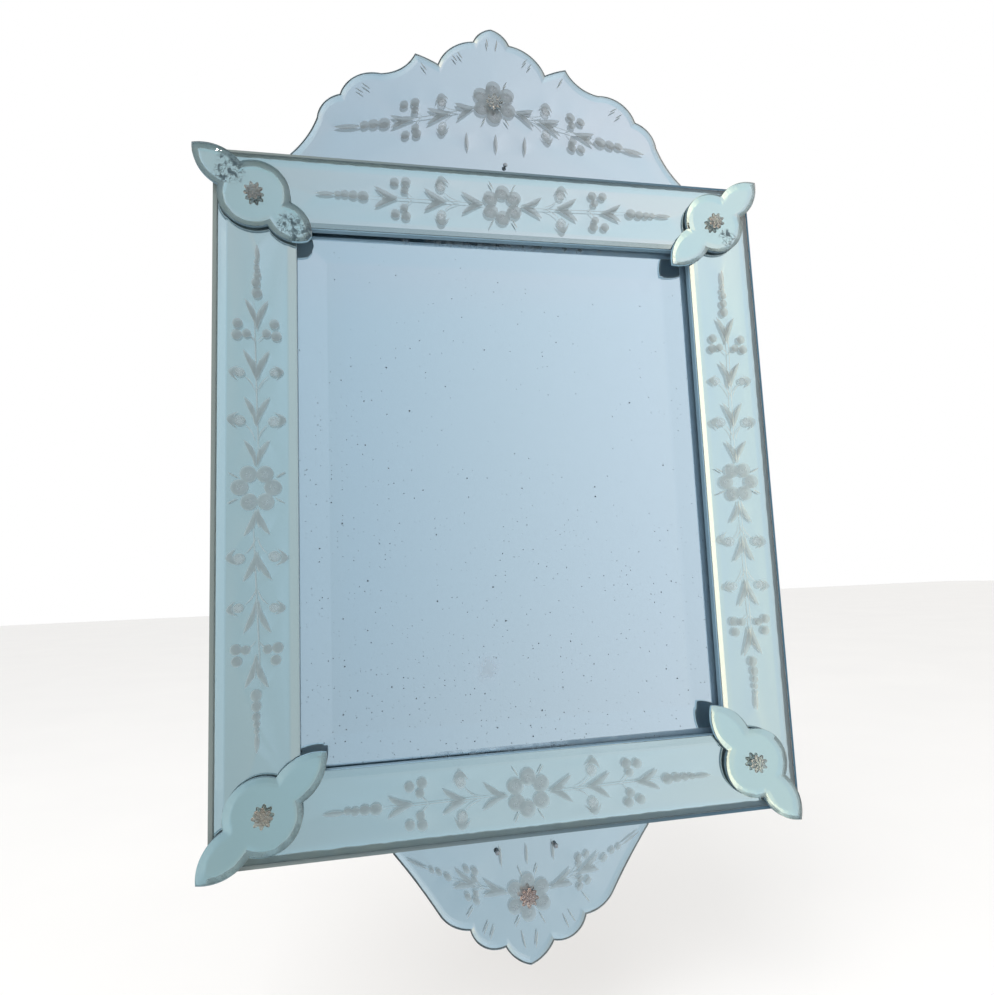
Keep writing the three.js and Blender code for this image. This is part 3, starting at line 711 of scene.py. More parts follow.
def handled_group():
    """Dust and finger marks: a patchy roughness, and a faint long wave of hand-made glass."""
    w, given, out = new_group("handled", {"Dust": 0.1, "Wave": 0.2}, ["Roughness", "Normal"])
    patches = w.noise(given["Vector"], 14.0, 6.0, 0.65)
    marks = w.times(w.minus(patches, 0.5, True), given["Dust"])
    wave = w.noise(given["Vector"], 26.0, 1.0)
    w.feed(out, Roughness=w.plus(marks, 0.012), Normal=w.bump(wave, 0.0006, given["Wave"]))


def wood_group():
    """Long grain along Z, with pores and a cloudy tone."""
    w, given, out = new_group("wood_grain", {"Grain": 1.0}, ["Tone", "Height"])

    def drawn(across, along, detail):
        stretched = w.add("ShaderNodeMapping", Vector=given["Vector"], Scale=(across, across, along))
        return w.noise(stretched.outputs[0], 1.0, detail)

    rings = w.maths("PINGPONG", w.times(drawn(7.0, 0.7, 2.0), 26.0), 1.0)
    streaks = w.plus(w.times(rings, 0.3), w.times(drawn(110.0, 5.0, 4.0), 0.4))
    tone = w.plus(streaks, w.times(drawn(900.0, 30.0, 2.0), 0.3))
    w.feed(out, Tone=tone, Height=w.times(tone, given["Grain"]))


def material(name):
    """A new material's wiring, its shader and its Object coordinates."""
    made = bpy.data.materials.new(name)
    made.use_nodes = True
    w = Wiring(made.node_tree)
    return w, made.node_tree.nodes["Principled BSDF"], w.add("ShaderNodeTexCoord").outputs["Object"]


PLATE_IOR = 1.52
PRESSED_IOR = 1.5


def glass_material(name, tint):
    """Clear plate glass, faintly tinted."""
    w, shader, where = material(name)
    hands = w.placed("handled", Vector=where, Dust=0.1, Wave=0.1)
    w.feed(shader, Base_Color=tint, Transmission_Weight=1, IOR=PLATE_IOR,
           Roughness=hands["Roughness"], Normal=hands["Normal"])


OPENING_MARGIN = 3 * MM


def opening_painted_light_mask(w, where):
    """One on the walls of the opening that the strips frame, none outside them: where painted light from the
    centre mirror goes.
    """
    x, _, z = w.split(where)
    right, top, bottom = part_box("strip_right")[0].x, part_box("strip_top")[0].z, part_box("strip_bottom")[1].z
    level = w.unsigned(w.minus(z, (top + bottom) / 2))
    return w.times(w.less_than(w.unsigned(x), right + OPENING_MARGIN),
                   w.less_than(level, (top - bottom) / 2 + OPENING_MARGIN))


def edge_material(name, tint):
    """The ground edge of a plate, with painted light round the opening: a pale blue painted reflection of the
    centre mirror.
    """
    w, shader, where = material(name)
    ground = w.mixed(w.noise(where, 60.0, 4.0), (0.16, 0.25, 0.33), (0.24, 0.34, 0.41))
    # Painted reflection: pale blue on the edges round the opening, for the centre mirror that they reflect.
    ground = w.mixed(opening_painted_light_mask(w, where), ground, (0.48, 0.70, 0.86))
    w.feed(shader, Base_Color=w.mixed(1.0, ground, tint, "MULTIPLY"), Transmission_Weight=0.15, IOR=PLATE_IOR,
           Roughness=w.plus(0.35, w.times(w.noise(where, 300.0), 0.3)))


# Middle and reach of the cracked patches on the medallions, and of the milky one low on the centre
CRAZED = (((-210, 243), 0.013), ((-167, 202), 0.011), ((-157, 193), 0.014), ((198, 214), 0.008))
SMUDGE = ((-24, -143), 0.02)
CLEAN_SILVER = (0.93, 0.94, 0.93)
HAZED_SILVER = (0.84, 0.86, 0.86)
LOST_SILVER = (0.20, 0.25, 0.29)


def silver_material(name, amount, cloud, edge, stain, gather=0.0, sided=0.0, crazed=False, smudged=False):
    """Silvering seen through the glass: foxed by damp, cracked with it in places and lost along its edge.

    Amount and cloud are its specks and its haze. Edge and stain are the colours where it is lost, with more
    stain on the left where it is sided. On the centre plate that lost edge is painted light, a pale band where
    the slot under the rails lies in shade. Where the specks gather, there are more of them low on the left.
    """
    w, shader, where = material(name)
    x, _, z = w.split(where)
    low_left = w.times(w.plus(w.times(z, -1.6), w.times(x, -0.9)), gather)
    foxing = w.placed("foxing", Vector=where, Amount=w.plus(amount, low_left), Cloud=cloud)
    gone = foxing["Mask"]
    if crazed:
        for (across, up), reach in CRAZED:
            cracks = w.placed("crazing", Vector=where, Place=place(across, up, 0), Reach=reach)
            gone = w.larger(gone, cracks["Mask"])
    ragged = w.times(w.minus(w.noise(where, 110.0, 4.0), 0.5), 0.9)
    rim = w.past(w.plus(w.attribute("cut"), ragged), 0.25, 2.0)
    leftward = w.minus(w.noise(where, 45.0, 3.0), w.times(x, sided), True)
    tarnish = w.mixed(leftward, edge, stain)
    colour = w.mixed(foxing["Haze"], CLEAN_SILVER, HAZED_SILVER)
    colour = w.mixed(gone, w.mixed(rim, colour, tarnish), LOST_SILVER)
    gone = w.larger(gone, rim)
    dull = gone
    if smudged:
        (across, up), reach = SMUDGE
        away = w.distance(where, place(across, up, drawn_box("centre_mirror")[0].z))
        milky = w.past(w.minus(w.noise(where, 55.0, 4.0), w.over(away, 2 * reach)), 0.12, 2.2)
        colour = w.mixed(milky, colour, grey(1.0))
        dull = w.larger(gone, milky)
    w.feed(shader, Base_Color=colour, Metallic=w.minus(1.0, gone), Roughness=w.plus(0.02, w.times(dull, 0.4)),
           Specular_IOR_Level=0.15)


def engraving_material(colour):
    """Frosted glass in a cut: it blurs and dims the mirror behind it, less so where it is worn clear. Its tone
    carries painted shade, darker towards the top and where the cut is deeper.
    """
    w, shader, where = material("engraving")
    frost = w.attribute("frost")
    # Painted shade: the deeper the cut, the darker its tone.
    deep = w.times(w.times(w.attribute("cut"), 2.0, True), 0.17)
    grain = w.noise(where, 900.0, 3.0)
    # Painted shade: the tone darkens towards the top of the mirror.
    shade_towards_top = w.maths("MINIMUM", w.minus(0.72, w.split(where)["Z"]), 0.95)
    tone = w.plus(w.times(grain, 0.14), w.times(w.noise(where, 60.0, 3.0), 0.35))
    tone = w.times(w.times(w.plus(0.64, tone), shade_towards_top), w.minus(1.12, deep))
    shade = w.add("ShaderNodeCombineColor", Red=tone, Green=tone, Blue=tone).outputs[0]
    ground = w.mixed(1.0, colour, shade, "MULTIPLY")
    rough = w.times(w.plus(0.28, w.times(grain, 0.2)), frost)
    w.feed(shader, Base_Color=w.mixed(frost, grey(0.97), ground), Transmission_Weight=0.88, IOR=PLATE_IOR,
           Roughness=rough, Normal=w.bump(grain, 0.0002, 0.3))


def coat_material():
    """The backing paint that seals the silver, partly painted light: its pale blue lightens the shaded backs of
    the plates seen in the mirror.
    """
    w, shader, where = material("backing_paint")
    tone = w.noise(where, 40.0, 4.0)
    # Painted light: the pale blue stands in for the mirror's light on backs that lie in shade.
    w.feed(shader, Base_Color=w.mixed(tone, (0.60, 0.75, 0.84), (0.68, 0.81, 0.88)),
           Roughness=w.plus(0.45, w.times(tone, 0.2)))


def paint_material(colour):
    """Blue paint on the rails, thin and chipped along the grain; painted light makes it greyer on the left and
    pale blue round the opening.
    """
    w, shader, where = material("rail_paint")
    grain = w.placed("wood_grain", Vector=where, Grain=1.0)
    chips = w.past(w.noise(where, 120.0, 6.0, 0.7), 0.72, 14.0)
    coat = w.mixed(w.noise(where, 18.0, 4.0), colour, tuple(1.5 * c for c in colour))
    # Painted light: the paint turns lighter and greyer towards the left, where the light falls.
    leftward = w.minus(0.5, w.times(w.split(where)["X"], 2.3), True)
    coat = w.mixed(leftward, coat, (0.20, 0.235, 0.225))
    # Painted light: pale blue on the walls of the opening, for the light that the centre mirror throws on them.
    coat = w.mixed(opening_painted_light_mask(w, where), coat, (0.21, 0.34, 0.44))
    w.feed(shader, Base_Color=w.mixed(chips, coat, (0.16, 0.12, 0.09)), Specular_IOR_Level=0.25,
           Roughness=w.plus(0.34, w.times(chips, 0.4)), Normal=w.bump(grain["Height"], 0.0004, 0.35))


def board_material(colour):
    """Bare softwood, browned and dusty."""
    w, shader, where = material("browned_board")
    grain = w.placed("wood_grain", Vector=where, Grain=1.0)
    bare = w.mixed(grain["Tone"], colour, tuple(0.45 * c for c in colour))
    stain = w.past(w.noise(where, 9.0, 5.0), 0.45, 2.2)
    w.feed(shader, Base_Color=w.mixed(stain, bare, (0.12, 0.085, 0.055)),
           Roughness=w.plus(0.7, w.times(grain["Tone"], 0.2)), Normal=w.bump(grain["Height"], 0.0008, 0.5))


def rosette_material(name, stain):
    """Clear pressed glass with a little grime, over the tarnish that shows through from behind it."""
    w, shader, where = material(name)
    grime = w.past(w.noise(where, 260.0, 2.0), 0.46, 3.0)
    w.feed(shader, Base_Color=w.mixed(grime, tuple(0.3 + 0.7 * c for c in stain), stain),
           Transmission_Weight=0.86, IOR=PRESSED_IOR, Roughness=w.plus(0.03, w.times(grime, 0.25)))


def tack_material():
    w, shader, where = material("tack_steel")
    rust = w.past(w.noise(where, 900.0, 5.0), 0.45, 6.0)
    w.feed(shader, Base_Color=w.mixed(rust, (0.36, 0.43, 0.49), (0.25, 0.22, 0.21)),
           Metallic=w.minus(0.8, w.times(rust, 0.7)), Roughness=w.plus(0.4, w.times(rust, 0.4)))


def plate_materials(family):
    """The finishes of a plate, in the order of GLASS, CUT, EDGE, SILVER and COAT."""
    names = (f"clear_{family}", "engraving", f"edge_{family}", f"silver_{family}", "backing_paint")
    return [bpy.data.materials[name] for name in names]


GLASS, CUT, EDGE, SILVER, COAT = range(5)


def add_coat(body, outline, back, sizes, lost, wear=worn_through):
    """Silvering and backing paint behind a plate, a hair inside its outline.

    The silvering is lost and then fades along the edge, where wear says so.
    """
    inset = [p for p in moved_in(outline, sizes.arris / MM) if p]
    top = back - sizes.coat_gap / MM
    low = top - sizes.coat_thickness / MM
    gone, fading = lost
    kept = body.step_in(inset, top, gone, top, SILVER, worn=(wear, wear))
    kept = body.step_in(kept, top, fading, top, SILVER, worn=(wear, unworn))
    body.sheet(kept, top, SILVER)
    body.walls(inset, low, top, COAT, worn=wear)
    body.sheet(inset, low, COAT, upward=False)


def plate(sizes, family, name, node, slot, outline, lost, cuts=(), uneven=0.0, wear=worn_through, smooth=12):
    """A bevelled plate of glass with its engraving and its silvered back, in place of a CAD node."""
    body = Body(plate_materials(family))
    back, front = (corner.z for corner in drawn_box(node))
    bevel, drop = getattr(sizes, f"{family}_bevel") / MM, getattr(sizes, f"{family}_drop") / MM
    arris = sizes.arris / MM
    low = front - drop
    body.walls(outline, back, low - arris, EDGE)
    rim = body.step_in(outline, low - arris, arris, low, GLASS)
    flat = body.step_in(rim, low, bevel - arris, front, GLASS, uneven)
    body.engraved_sheet(flat, front, cuts, sizes.cut_depth / MM, GLASS, CUT)
    body.sheet(outline, back, GLASS, upward=False)
    add_coat(body, outline, back, sizes, lost, wear)
    body.finished(name, node, slot, smooth)


# How the silvering of each kind of plate has aged, and on the centre plate the colours of a band of painted
# light
SILVERING = {
    # On the centre plate, edge and stain are painted light: the pale blue of a band where the slot under the
    # rails lies in shade.
    "centre": dict(amount=0.3, cloud=0.10, edge=(0.72, 0.89, 1.0), stain=(0.66, 0.84, 0.97), gather=0.9,
                   smudged=True),
    "strip": dict(amount=0.05, cloud=0.05, edge=(0.34, 0.45, 0.53), stain=(0.52, 0.55, 0.50), sided=2.0),
    "scallop": dict(amount=0.15, cloud=0.08, edge=(0.20, 0.25, 0.27), stain=(0.25, 0.27, 0.25)),
    "medallion": dict(amount=0.1, cloud=0.16, edge=(0.60, 0.70, 0.82), stain=(0.80, 0.77, 0.67), crazed=True),
}
# The tarnish that shows through each rosette
ROSETTES = {"crest": (0.50, 0.52, 0.52), "pendant": (0.62, 0.44, 0.40), "top_left": (0.34, 0.32, 0.31),
            "top_right": (0.36, 0.33, 0.31), "bottom_left": (0.60, 0.51, 0.43),
            "bottom_right": (0.42, 0.44, 0.44)}


# Operators


class MIRROR_OT_finishes(bpy.types.Operator):
    """Make the shader groups and materials that the pieces share"""

    bl_idname = "mirror.finishes"
    bl_label = "Finishes"

    def execute(self, context):
        colours = context.scene.mirror_colours
        foxing_group()
        crazing_group()
        handled_group()
        wood_group()
        for family, wear in SILVERING.items():
            tint = getattr(colours, family)
            glass_material(f"clear_{family}", tint)
            edge_material(f"edge_{family}", tint)
            silver_material(f"silver_{family}", **wear)
        engraving_material(colours.engraving)
        coat_material()
        paint_material(colours.paint)
        board_material(colours.board)
        for name, stain in ROSETTES.items():
            rosette_material(f"pressed_glass_{name}", stain)
        tack_material()
        return {"FINISHED"}


# Width of a pale band of painted light past what the strips cover of the centre plate, drawn as lost silvering,
# and of its fading edge
CENTRE_PAINTED_BAND = (3.2, 1.0)


class MIRROR_OT_centre(bpy.types.Operator):
    """The bevelled centre mirror"""

    bl_idname = "mirror.centre"
    bl_label = "Centre mirror"

    def execute(self, context):
        sizes = context.scene.mirror_glass
        low, high = drawn_box("centre_mirror")
        outline = [(low.x, low.y), (high.x, low.y), (high.x, high.y), (low.x, high.y)]

        # Painted light: only the right edge gets the pale band, where the glass would show the shaded slot
        # under the rail.
        def rightward(point):
            return float(point[0] > 0)

        covered = high.x - side_reach("right")[0]
        plate(sizes, "centre", "centre_plate", "centre_mirror", "centre_glass", outline,
              lost=(covered + CENTRE_PAINTED_BAND[0], CENTRE_PAINTED_BAND[1]), wear=rightward, smooth=2)
        return {"FINISHED"}


# Each strip's turn, spray, and widths of its lost and its fading silvering
SIDES = {"top": (0, HORIZONTAL_SPRAY, (1.8, 2.0)), "left": (90, VERTICAL_SPRAY, (0.6, 0.4)),
         "bottom": (180, HORIZONTAL_SPRAY, (3.6, 2.0)), "right": (270, VERTICAL_SPRAY, (2.6, 2.0))}


def side_reach(name):
    """A strip's inner and outer edge and its half length, as if it were the top one."""
    low, high = drawn_box(f"strip_{name}")
    if name in ("top", "bottom"):
        return min(abs(low.y), abs(high.y)), max(abs(low.y), abs(high.y)), high.x
    return min(abs(low.x), abs(high.x)), max(abs(low.x), abs(high.x)), high.y


class MIRROR_OT_strips(bpy.types.Operator):
    """The four border strips, bevelled along both edges and engraved with a flower and two sprays"""

    bl_idname = "mirror.strips"
    bl_label = "Border strips"

    def execute(self, context):
        for seed, (name, (angle, plan, lost)) in enumerate(SIDES.items()):
            self.strip(context.scene.mirror_glass, name, angle, plan, lost, seed)
        return {"FINISHED"}

    def strip(self, sizes, name, angle, plan, lost, seed):
        inner, outer, reach = side_reach(name)
        low, high = drawn_box(f"strip_{name}")
        front, back = high.z, low.z
        bevel, drop, arris = sizes.strip_bevel / MM, sizes.strip_drop / MM, sizes.arris / MM
        foot = front - drop
        profile = [(inner, back, EDGE), (inner, foot - arris, GLASS), (inner + arris, foot, GLASS),
                   (inner + bevel, front, None), (outer - bevel, front, GLASS), (outer - arris, foot, GLASS),
                   (outer, foot - arris, EDGE), (outer, back, GLASS)]
        body = Body(plate_materials("strip"))

        def corner(y, z, side):
            return (*turned((side * (reach + y - outer), y), angle), z)

        for (y0, z0, finish), (y1, z1, _) in zip(profile, profile[1:] + profile[:1]):
            if finish is not None:
                bar = [corner(y0, z0, -1), corner(y0, z0, 1), corner(y1, z1, 1), corner(y1, z1, -1)]
                body.face(bar, finish)
        body.face([corner(y, z, 1) for y, z, _ in reversed(profile)], EDGE)
        body.face([corner(y, z, -1) for y, z, _ in profile], EDGE)
        line = (0, (inner + outer) / 2)
        cuts = flower(petal=5.9, ring=11.4, rays=(60, 120, 240, 300)) + both_ways(spray(plan))
        cuts = all_remapped(moved_to(by_hand(cuts, seed), line), lambda p: turned(p, angle))

        def ring(low_y, high_y):
            ends = ((low_y, -1), (low_y, 1), (high_y, 1), (high_y, -1))
            return [corner(y, front, side)[:2] for y, side in ends]

        def outer_half(point):
            return float(turned(point, -angle)[1] > (inner + outer) / 2)

        body.engraved_sheet(ring(inner + bevel, outer - bevel), front, cuts, sizes.cut_depth / MM, GLASS, CUT)
        add_coat(body, ring(inner, outer), back, sizes, lost, wear=outer_half)
        body.finished(f"strip_{name}_plate", f"strip_{name}", "strip_glass")


# The right half of each scalloped outline, as shares of its half width and height and the bulge of each arc.
# Its edge strokes have shares of the same, an angle and a length.
CREST_STEPS = [(0.095, 0.905, 2.6), (0.28, 0.732, 5.6), (0.393, 0.784, 0.6), (0.565, 0.632, -4.6),
               (0.765, 0.475, 7.4), (0.875, 0.315, 4.4), (1, 0.078, -2.2)]
PENDANT_STEPS = [(0.187, 0.85, 2.4), (0.45, 0.696, 6.4), (0.67, 0.567, 2.8), (1, 0.085, -0.8)]


def scalloped(steps, half_width, base, height, foot):
    half = [(0, base + height)]
    for across, up, bulge in steps:
        half += arc(half[-1], (across * half_width, base + up * height), bulge)
    half.append((half_width, foot))
    left = [(-x, y) for x, y in reversed(half[1:])]
    return list(reversed(half + left))


def edge_cuts(marks, half_width, base, height):
    """Short strokes that point in from the scallops, both sides alike."""
    cuts = []
    for across, up, angle, length in marks:
        start = (across * half_width, base + up * height)
        cuts.append(leaf_cut(start, shifted(start, turned((length, 0), angle)), STROKE))
    return both_ways(cuts)


CREST_MARKS = [(0.03, 0.922, 262, 8), (0.182, 0.816, 235, 8), (0.208, 0.792, 232, 7), (0.372, 0.717, 235, 9),
               (0.661, 0.548, 215, 9), (0.69, 0.512, 212, 8)]
PENDANT_MARKS = [(0.04, 0.876, 280, 12), (0.303, 0.773, 250, 10), (0.354, 0.732, 242, 10),
                 (0.475, 0.598, 235, 9)]
FLOWER_SHARE = 0.505
SCALLOPS = {
    "crest": {
        "side": 1, "steps": CREST_STEPS, "marks": CREST_MARKS,
        "flower": flower(petal=6.5, ring=12.6, rays=(60, 240, 300)),
        "spray": bent(CREST_SPRAY),
        "drops": [leaf_cut((x, -46), (x, -29), width=3.2, bend=0.4) for x in (-25, 0, 26)],
    },
    "pendant": {
        "side": -1, "steps": PENDANT_STEPS, "marks": PENDANT_MARKS,
        "flower": flower(petal=5.6, ring=11.4, rays=(60, 120, 250, 290)),
        "spray": flipped(bent(PENDANT_SPRAY)),
        "drops": [leaf_cut((x, -38), (x, -23), width=2.0) for x in (-20, 0, 20)],
    },
}
# The first seed of the scallops' engraving, and the widths of their lost and their fading silvering
SCALLOP_SEED = 11
SCALLOP_LOST = (0.5, 1.3)


class MIRROR_OT_scallops(bpy.types.Operator):
    """The crest and the pendant, with their scalloped bevels and engraving"""

    bl_idname = "mirror.scallops"
    bl_label = "Crest and pendant"

    def execute(self, context):
        sizes = context.scene.mirror_glass
        base = side_reach("top")[1]
        for seed, (name, plan) in enumerate(SCALLOPS.items()):
            low, high = drawn_box(f"{name}_plate")
            side = plan["side"]
            foot, tip = sorted((side * low.y, side * high.y))
            size = (high.x, base, tip - base)
            outline = scalloped(plan["steps"], *size, foot)
            cuts = plan["flower"] + both_ways(plan["spray"]) + plan["drops"]
            cuts = moved_to(cuts, (0, base + FLOWER_SHARE * (tip - base))) + edge_cuts(plan["marks"], *size)
            if side < 0:
                outline = [(x, -y) for x, y in reversed(outline)]
                cuts = flipped(cuts)
            plate(sizes, "scallop", f"{name}_glass", f"{name}_plate", "scalloped_glass", outline,
                  SCALLOP_LOST, by_hand(cuts, SCALLOP_SEED + seed))
        return {"FINISHED"}


DISC_RADIUS = 26.5
LEAF_REACH = 57.9
LEAF_ROOT = 28
LEAF_BULGE = 5.5
LEAF_PITCH = 1.2
DISC_STEPS = 40
# How far the silvering along the edge is worn on a medallion's lower right and on its upper left
WORN_LOW = 0.55
WORN_HIGH = 0.1
# Middle and turn of each medallion, how much of its first leaf's tip has broken off, and its lost silvering
MEDALLIONS = {
    "top_left": ((-193, 224.5), 320, 5, (3.0, 2.4)),
    "top_right": ((187, 226), 43.5, 0, (2.6, 2.0)),
    "bottom_left": ((-187, -227), 222.5, 0, (3.6, 1.6)),
    "bottom_right": ((185, -224.5), 307, 0, (2.2, 2.0)),
}


def medallion_outline(middle, angle, broken):
    root = turned((DISC_RADIUS, 0), LEAF_ROOT)
    tip = (LEAF_REACH - broken, 0.45 * broken)
    half = [tip] + arc(tip, root, -LEAF_BULGE, LEAF_PITCH)
    for i in range(1, DISC_STEPS + 1):
        half.append(turned((DISC_RADIUS, 0), LEAF_ROOT + (180 - 2 * LEAF_ROOT) * i / DISC_STEPS))
    half += arc(half[-1], (-LEAF_REACH, 0), -LEAF_BULGE, LEAF_PITCH)
    lower = [(x, -y) for x, y in reversed(half[0 if broken else 1:-1])]
    return [shifted(turned(p, angle), middle) for p in half + lower]


class MIRROR_OT_medallions(bpy.types.Operator):
    """The four corner medallions, a disc with a pointed leaf each way"""

    bl_idname = "mirror.medallions"
    bl_label = "Medallions"

    def execute(self, context):
        sizes = context.scene.mirror_glass
        for name, (middle, angle, broken, lost) in MEDALLIONS.items():
            outline = medallion_outline(middle, angle, broken)

            def low_right(point):
                return WORN_LOW if point[0] - middle[0] > point[1] - middle[1] else WORN_HIGH

            node = f"medallion_{name}"
            plate(sizes, "medallion", f"{node}_glass", node, "medallion_glass", outline, lost,
                  uneven=0.12, wear=worn_through if broken else low_right)
        return {"FINISHED"}


def socket_key(tree, name):
    return next(s.identifier for s in tree.interface.items_tree if s.name == name and s.in_out == "INPUT")


def rosette_tree():
    """Two rings of ridged petals about a button, on a thin foot."""
    tree = bpy.data.node_groups.new("pressed_rosette", "GeometryNodeTree")
    kinds = {"Geometry": "Geometry", "Petals": "Int", "Radius": "Float", "Height": "Float", "Turn": "Float",
             "Finish": "Material"}
    for socket, kind in kinds.items():
        tree.interface.new_socket(socket, in_out="INPUT", socket_type="NodeSocket" + kind)
    tree.interface.new_socket("Geometry", in_out="OUTPUT", socket_type="NodeSocketGeometry")
    w = Wiring(tree)
    given, out = w.add("NodeGroupInput").outputs, w.add("NodeGroupOutput")

    def wide(share):
        return w.times(given["Radius"], share)

    def tall(share):
        return w.times(given["Height"], share)

    def vector(**sides):
        return w.add("ShaderNodeCombineXYZ", **sides).outputs[0]

    def position():
        return w.add("GeometryNodeInputPosition").outputs[0]

    def changed(geometry, **change):
        return w.add("GeometryNodeTransform", Geometry=geometry, **change).outputs[0]

    def ring(reach, length, width, rise, lift, half_turn):
        circle = w.add("GeometryNodeMeshCircle", Vertices=given["Petals"], Radius=wide(reach))
        ball = w.add("GeometryNodeMeshUVSphere", Segments=16, Rings=10, Radius=1.0)
        ridge = w.times(w.unsigned(w.split(position())["Y"]), -0.55)
        ridged = w.add("GeometryNodeSetPosition", Geometry=ball.outputs["Mesh"], Offset=vector(Z=ridge))
        petal = changed(ridged.outputs[0], Scale=vector(X=wide(length), Y=wide(width), Z=tall(rise)))
        outward = w.add("FunctionNodeAlignRotationToVector", {"axis": "X"}, Vector=position())
        spread = w.add("GeometryNodeInstanceOnPoints", Points=circle.outputs[0], Instance=petal,
                       Rotation=outward.outputs[0])
        spin = w.plus(given["Turn"], w.over(math.pi * half_turn, given["Petals"]))
        return changed(spread.outputs[0], Translation=vector(Z=tall(lift)), Rotation=vector(Z=spin))

    outer = ring(reach=0.62, length=0.37, width=0.22, rise=0.34, lift=0.34, half_turn=0)
    inner = ring(reach=0.34, length=0.26, width=0.17, rise=0.30, lift=0.58, half_turn=1)
    button = w.add("GeometryNodeMeshUVSphere", Segments=20, Rings=12, Radius=wide(0.24)).outputs["Mesh"]
    foot = w.add("GeometryNodeMeshCylinder", Vertices=32, Radius=wide(0.7), Depth=tall(0.24)).outputs["Mesh"]
    lifted = changed(button, Translation=vector(Z=tall(0.6)))
    stood = changed(foot, Translation=vector(Z=tall(0.12)))
    joined = w.add("GeometryNodeJoinGeometry")
    for part in (stood, lifted, inner, outer):
        tree.links.new(part, joined.inputs[0])
    real = w.add("GeometryNodeRealizeInstances", Geometry=joined.outputs[0])
    finished = w.add("GeometryNodeSetMaterial", Geometry=real.outputs[0], Material=given["Finish"])
    tree.links.new(finished.outputs[0], out.inputs[0])
    return tree


def plain_mesh(tree, values, name, finishing):
    """The result of a geometry tree, and of the modifiers that finishing adds, as a plain mesh."""
    holder = new_object(name, bpy.data.meshes.new(name))
    modifier = holder.modifiers.new("make", "NODES")
    modifier.node_group = tree
    for socket, value in values.items():
        modifier[socket_key(tree, socket)] = value
    finishing(holder)
    graph = bpy.context.evaluated_depsgraph_get()
    mesh = bpy.data.meshes.new_from_object(holder.evaluated_get(graph), depsgraph=graph)
    bpy.data.objects.remove(holder)
    mesh.name = name
    return mesh


MELT_GRAIN = 0.26 * MM
ROSETTE_SEED = 5


def melted(holder):
    """Presses the parts of a rosette into one body of glass."""
    remesh = holder.modifiers.new("press", "REMESH")
    remesh.mode = "VOXEL"
    remesh.voxel_size = MELT_GRAIN
    smooth = holder.modifiers.new("polish", "SMOOTH")
    smooth.factor = 0.5
    smooth.iterations = 2


class MIRROR_OT_rosettes(bpy.types.Operator):
    """The six pressed glass rosettes"""

    bl_idname = "mirror.rosettes"
    bl_label = "Rosettes"

    def execute(self, context):
        flowers = context.scene.mirror_flowers
        tree = rosette_tree()
        chance = random.Random(ROSETTE_SEED)
        for name in ROSETTES:
            low, high = drawn_box(f"rosette_{name}")
            middle = ((low.x + high.x) / 2, (low.y + high.y) / 2)
            finish = bpy.data.materials[f"pressed_glass_{name}"]
            values = {"Petals": flowers.petals, "Radius": flowers.radius, "Height": flowers.height,
                      "Turn": chance.uniform(0, math.tau), "Finish": finish}
            mesh = plain_mesh(tree, values, f"rosette_{name}_flower", melted)
            base = place(*middle, low.z)
            mesh.transform(Matrix.Translation(base) @ Matrix.Rotation(math.pi / 2, 4, "X"))
            mesh.materials.clear()
            mesh.materials.append(finish)
            mesh.shade_smooth()
            fitted(f"rosette_{name}_flower", mesh, f"rosette_{name}")
        return {"FINISHED"}


class MIRROR_OT_woodwork(bpy.types.Operator):
    """Paint on the rails, bare wood on the board and steel on the tacks"""

    bl_idname = "mirror.woodwork"
    bl_label = "Woodwork and tacks"

    def execute(self, context):
        finishes = {"rail": "rail_paint", "back": "browned_board", "crest_pin": "tack_steel",
                    "pendant_pin": "tack_steel"}
        for name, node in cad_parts.items():
            for start, finish in finishes.items():
                if name.startswith(start):
                    node.data.materials.clear()
                    node.data.materials.append(bpy.data.materials[finish])
        return {"FINISHED"}


# Light that the glass meets, from left to right and from below to above
SIDE_LIGHT = [(0.0, (0.24, 0.29, 0.31)), (0.31, (0.46, 0.52, 0.54)), (0.42, (0.38, 0.48, 0.53)),
              (0.5, (0.43, 0.55, 0.63)), (0.61, (0.53, 0.64, 0.71)), (0.71, (0.63, 0.73, 0.80)),
              (0.805, (0.71, 0.79, 0.80)), (0.875, (1.5, 1.36, 1.14)), (1.0, (1.6, 1.42, 1.15))]
RISING_LIGHT = [(0.0, grey(0.6)), (0.23, grey(0.86)), (0.33, (0.96, 0.92, 0.90)), (0.5, grey(1.0)),
                (0.68, grey(1.08)), (0.78, (1.24, 1.08, 1.06)), (0.84, (1.15, 1.06, 1.06)),
                (0.92, grey(0.52)), (1.0, grey(0.45))]
# Place, size and power of each lamp, and the place on the mirror that they face
LAMPS = {"soft": ((-0.9, -1.6, 1.3), 1.4, 22.0), "glint": ((-0.25, -0.7, 1.1), 0.03, 0.35)}
LIT_PLACE = (0, 0, -0.2)
FLOOR_HALF = 12.0
SENSOR_WIDTH = 36
NEAREST_SEEN = 0.01


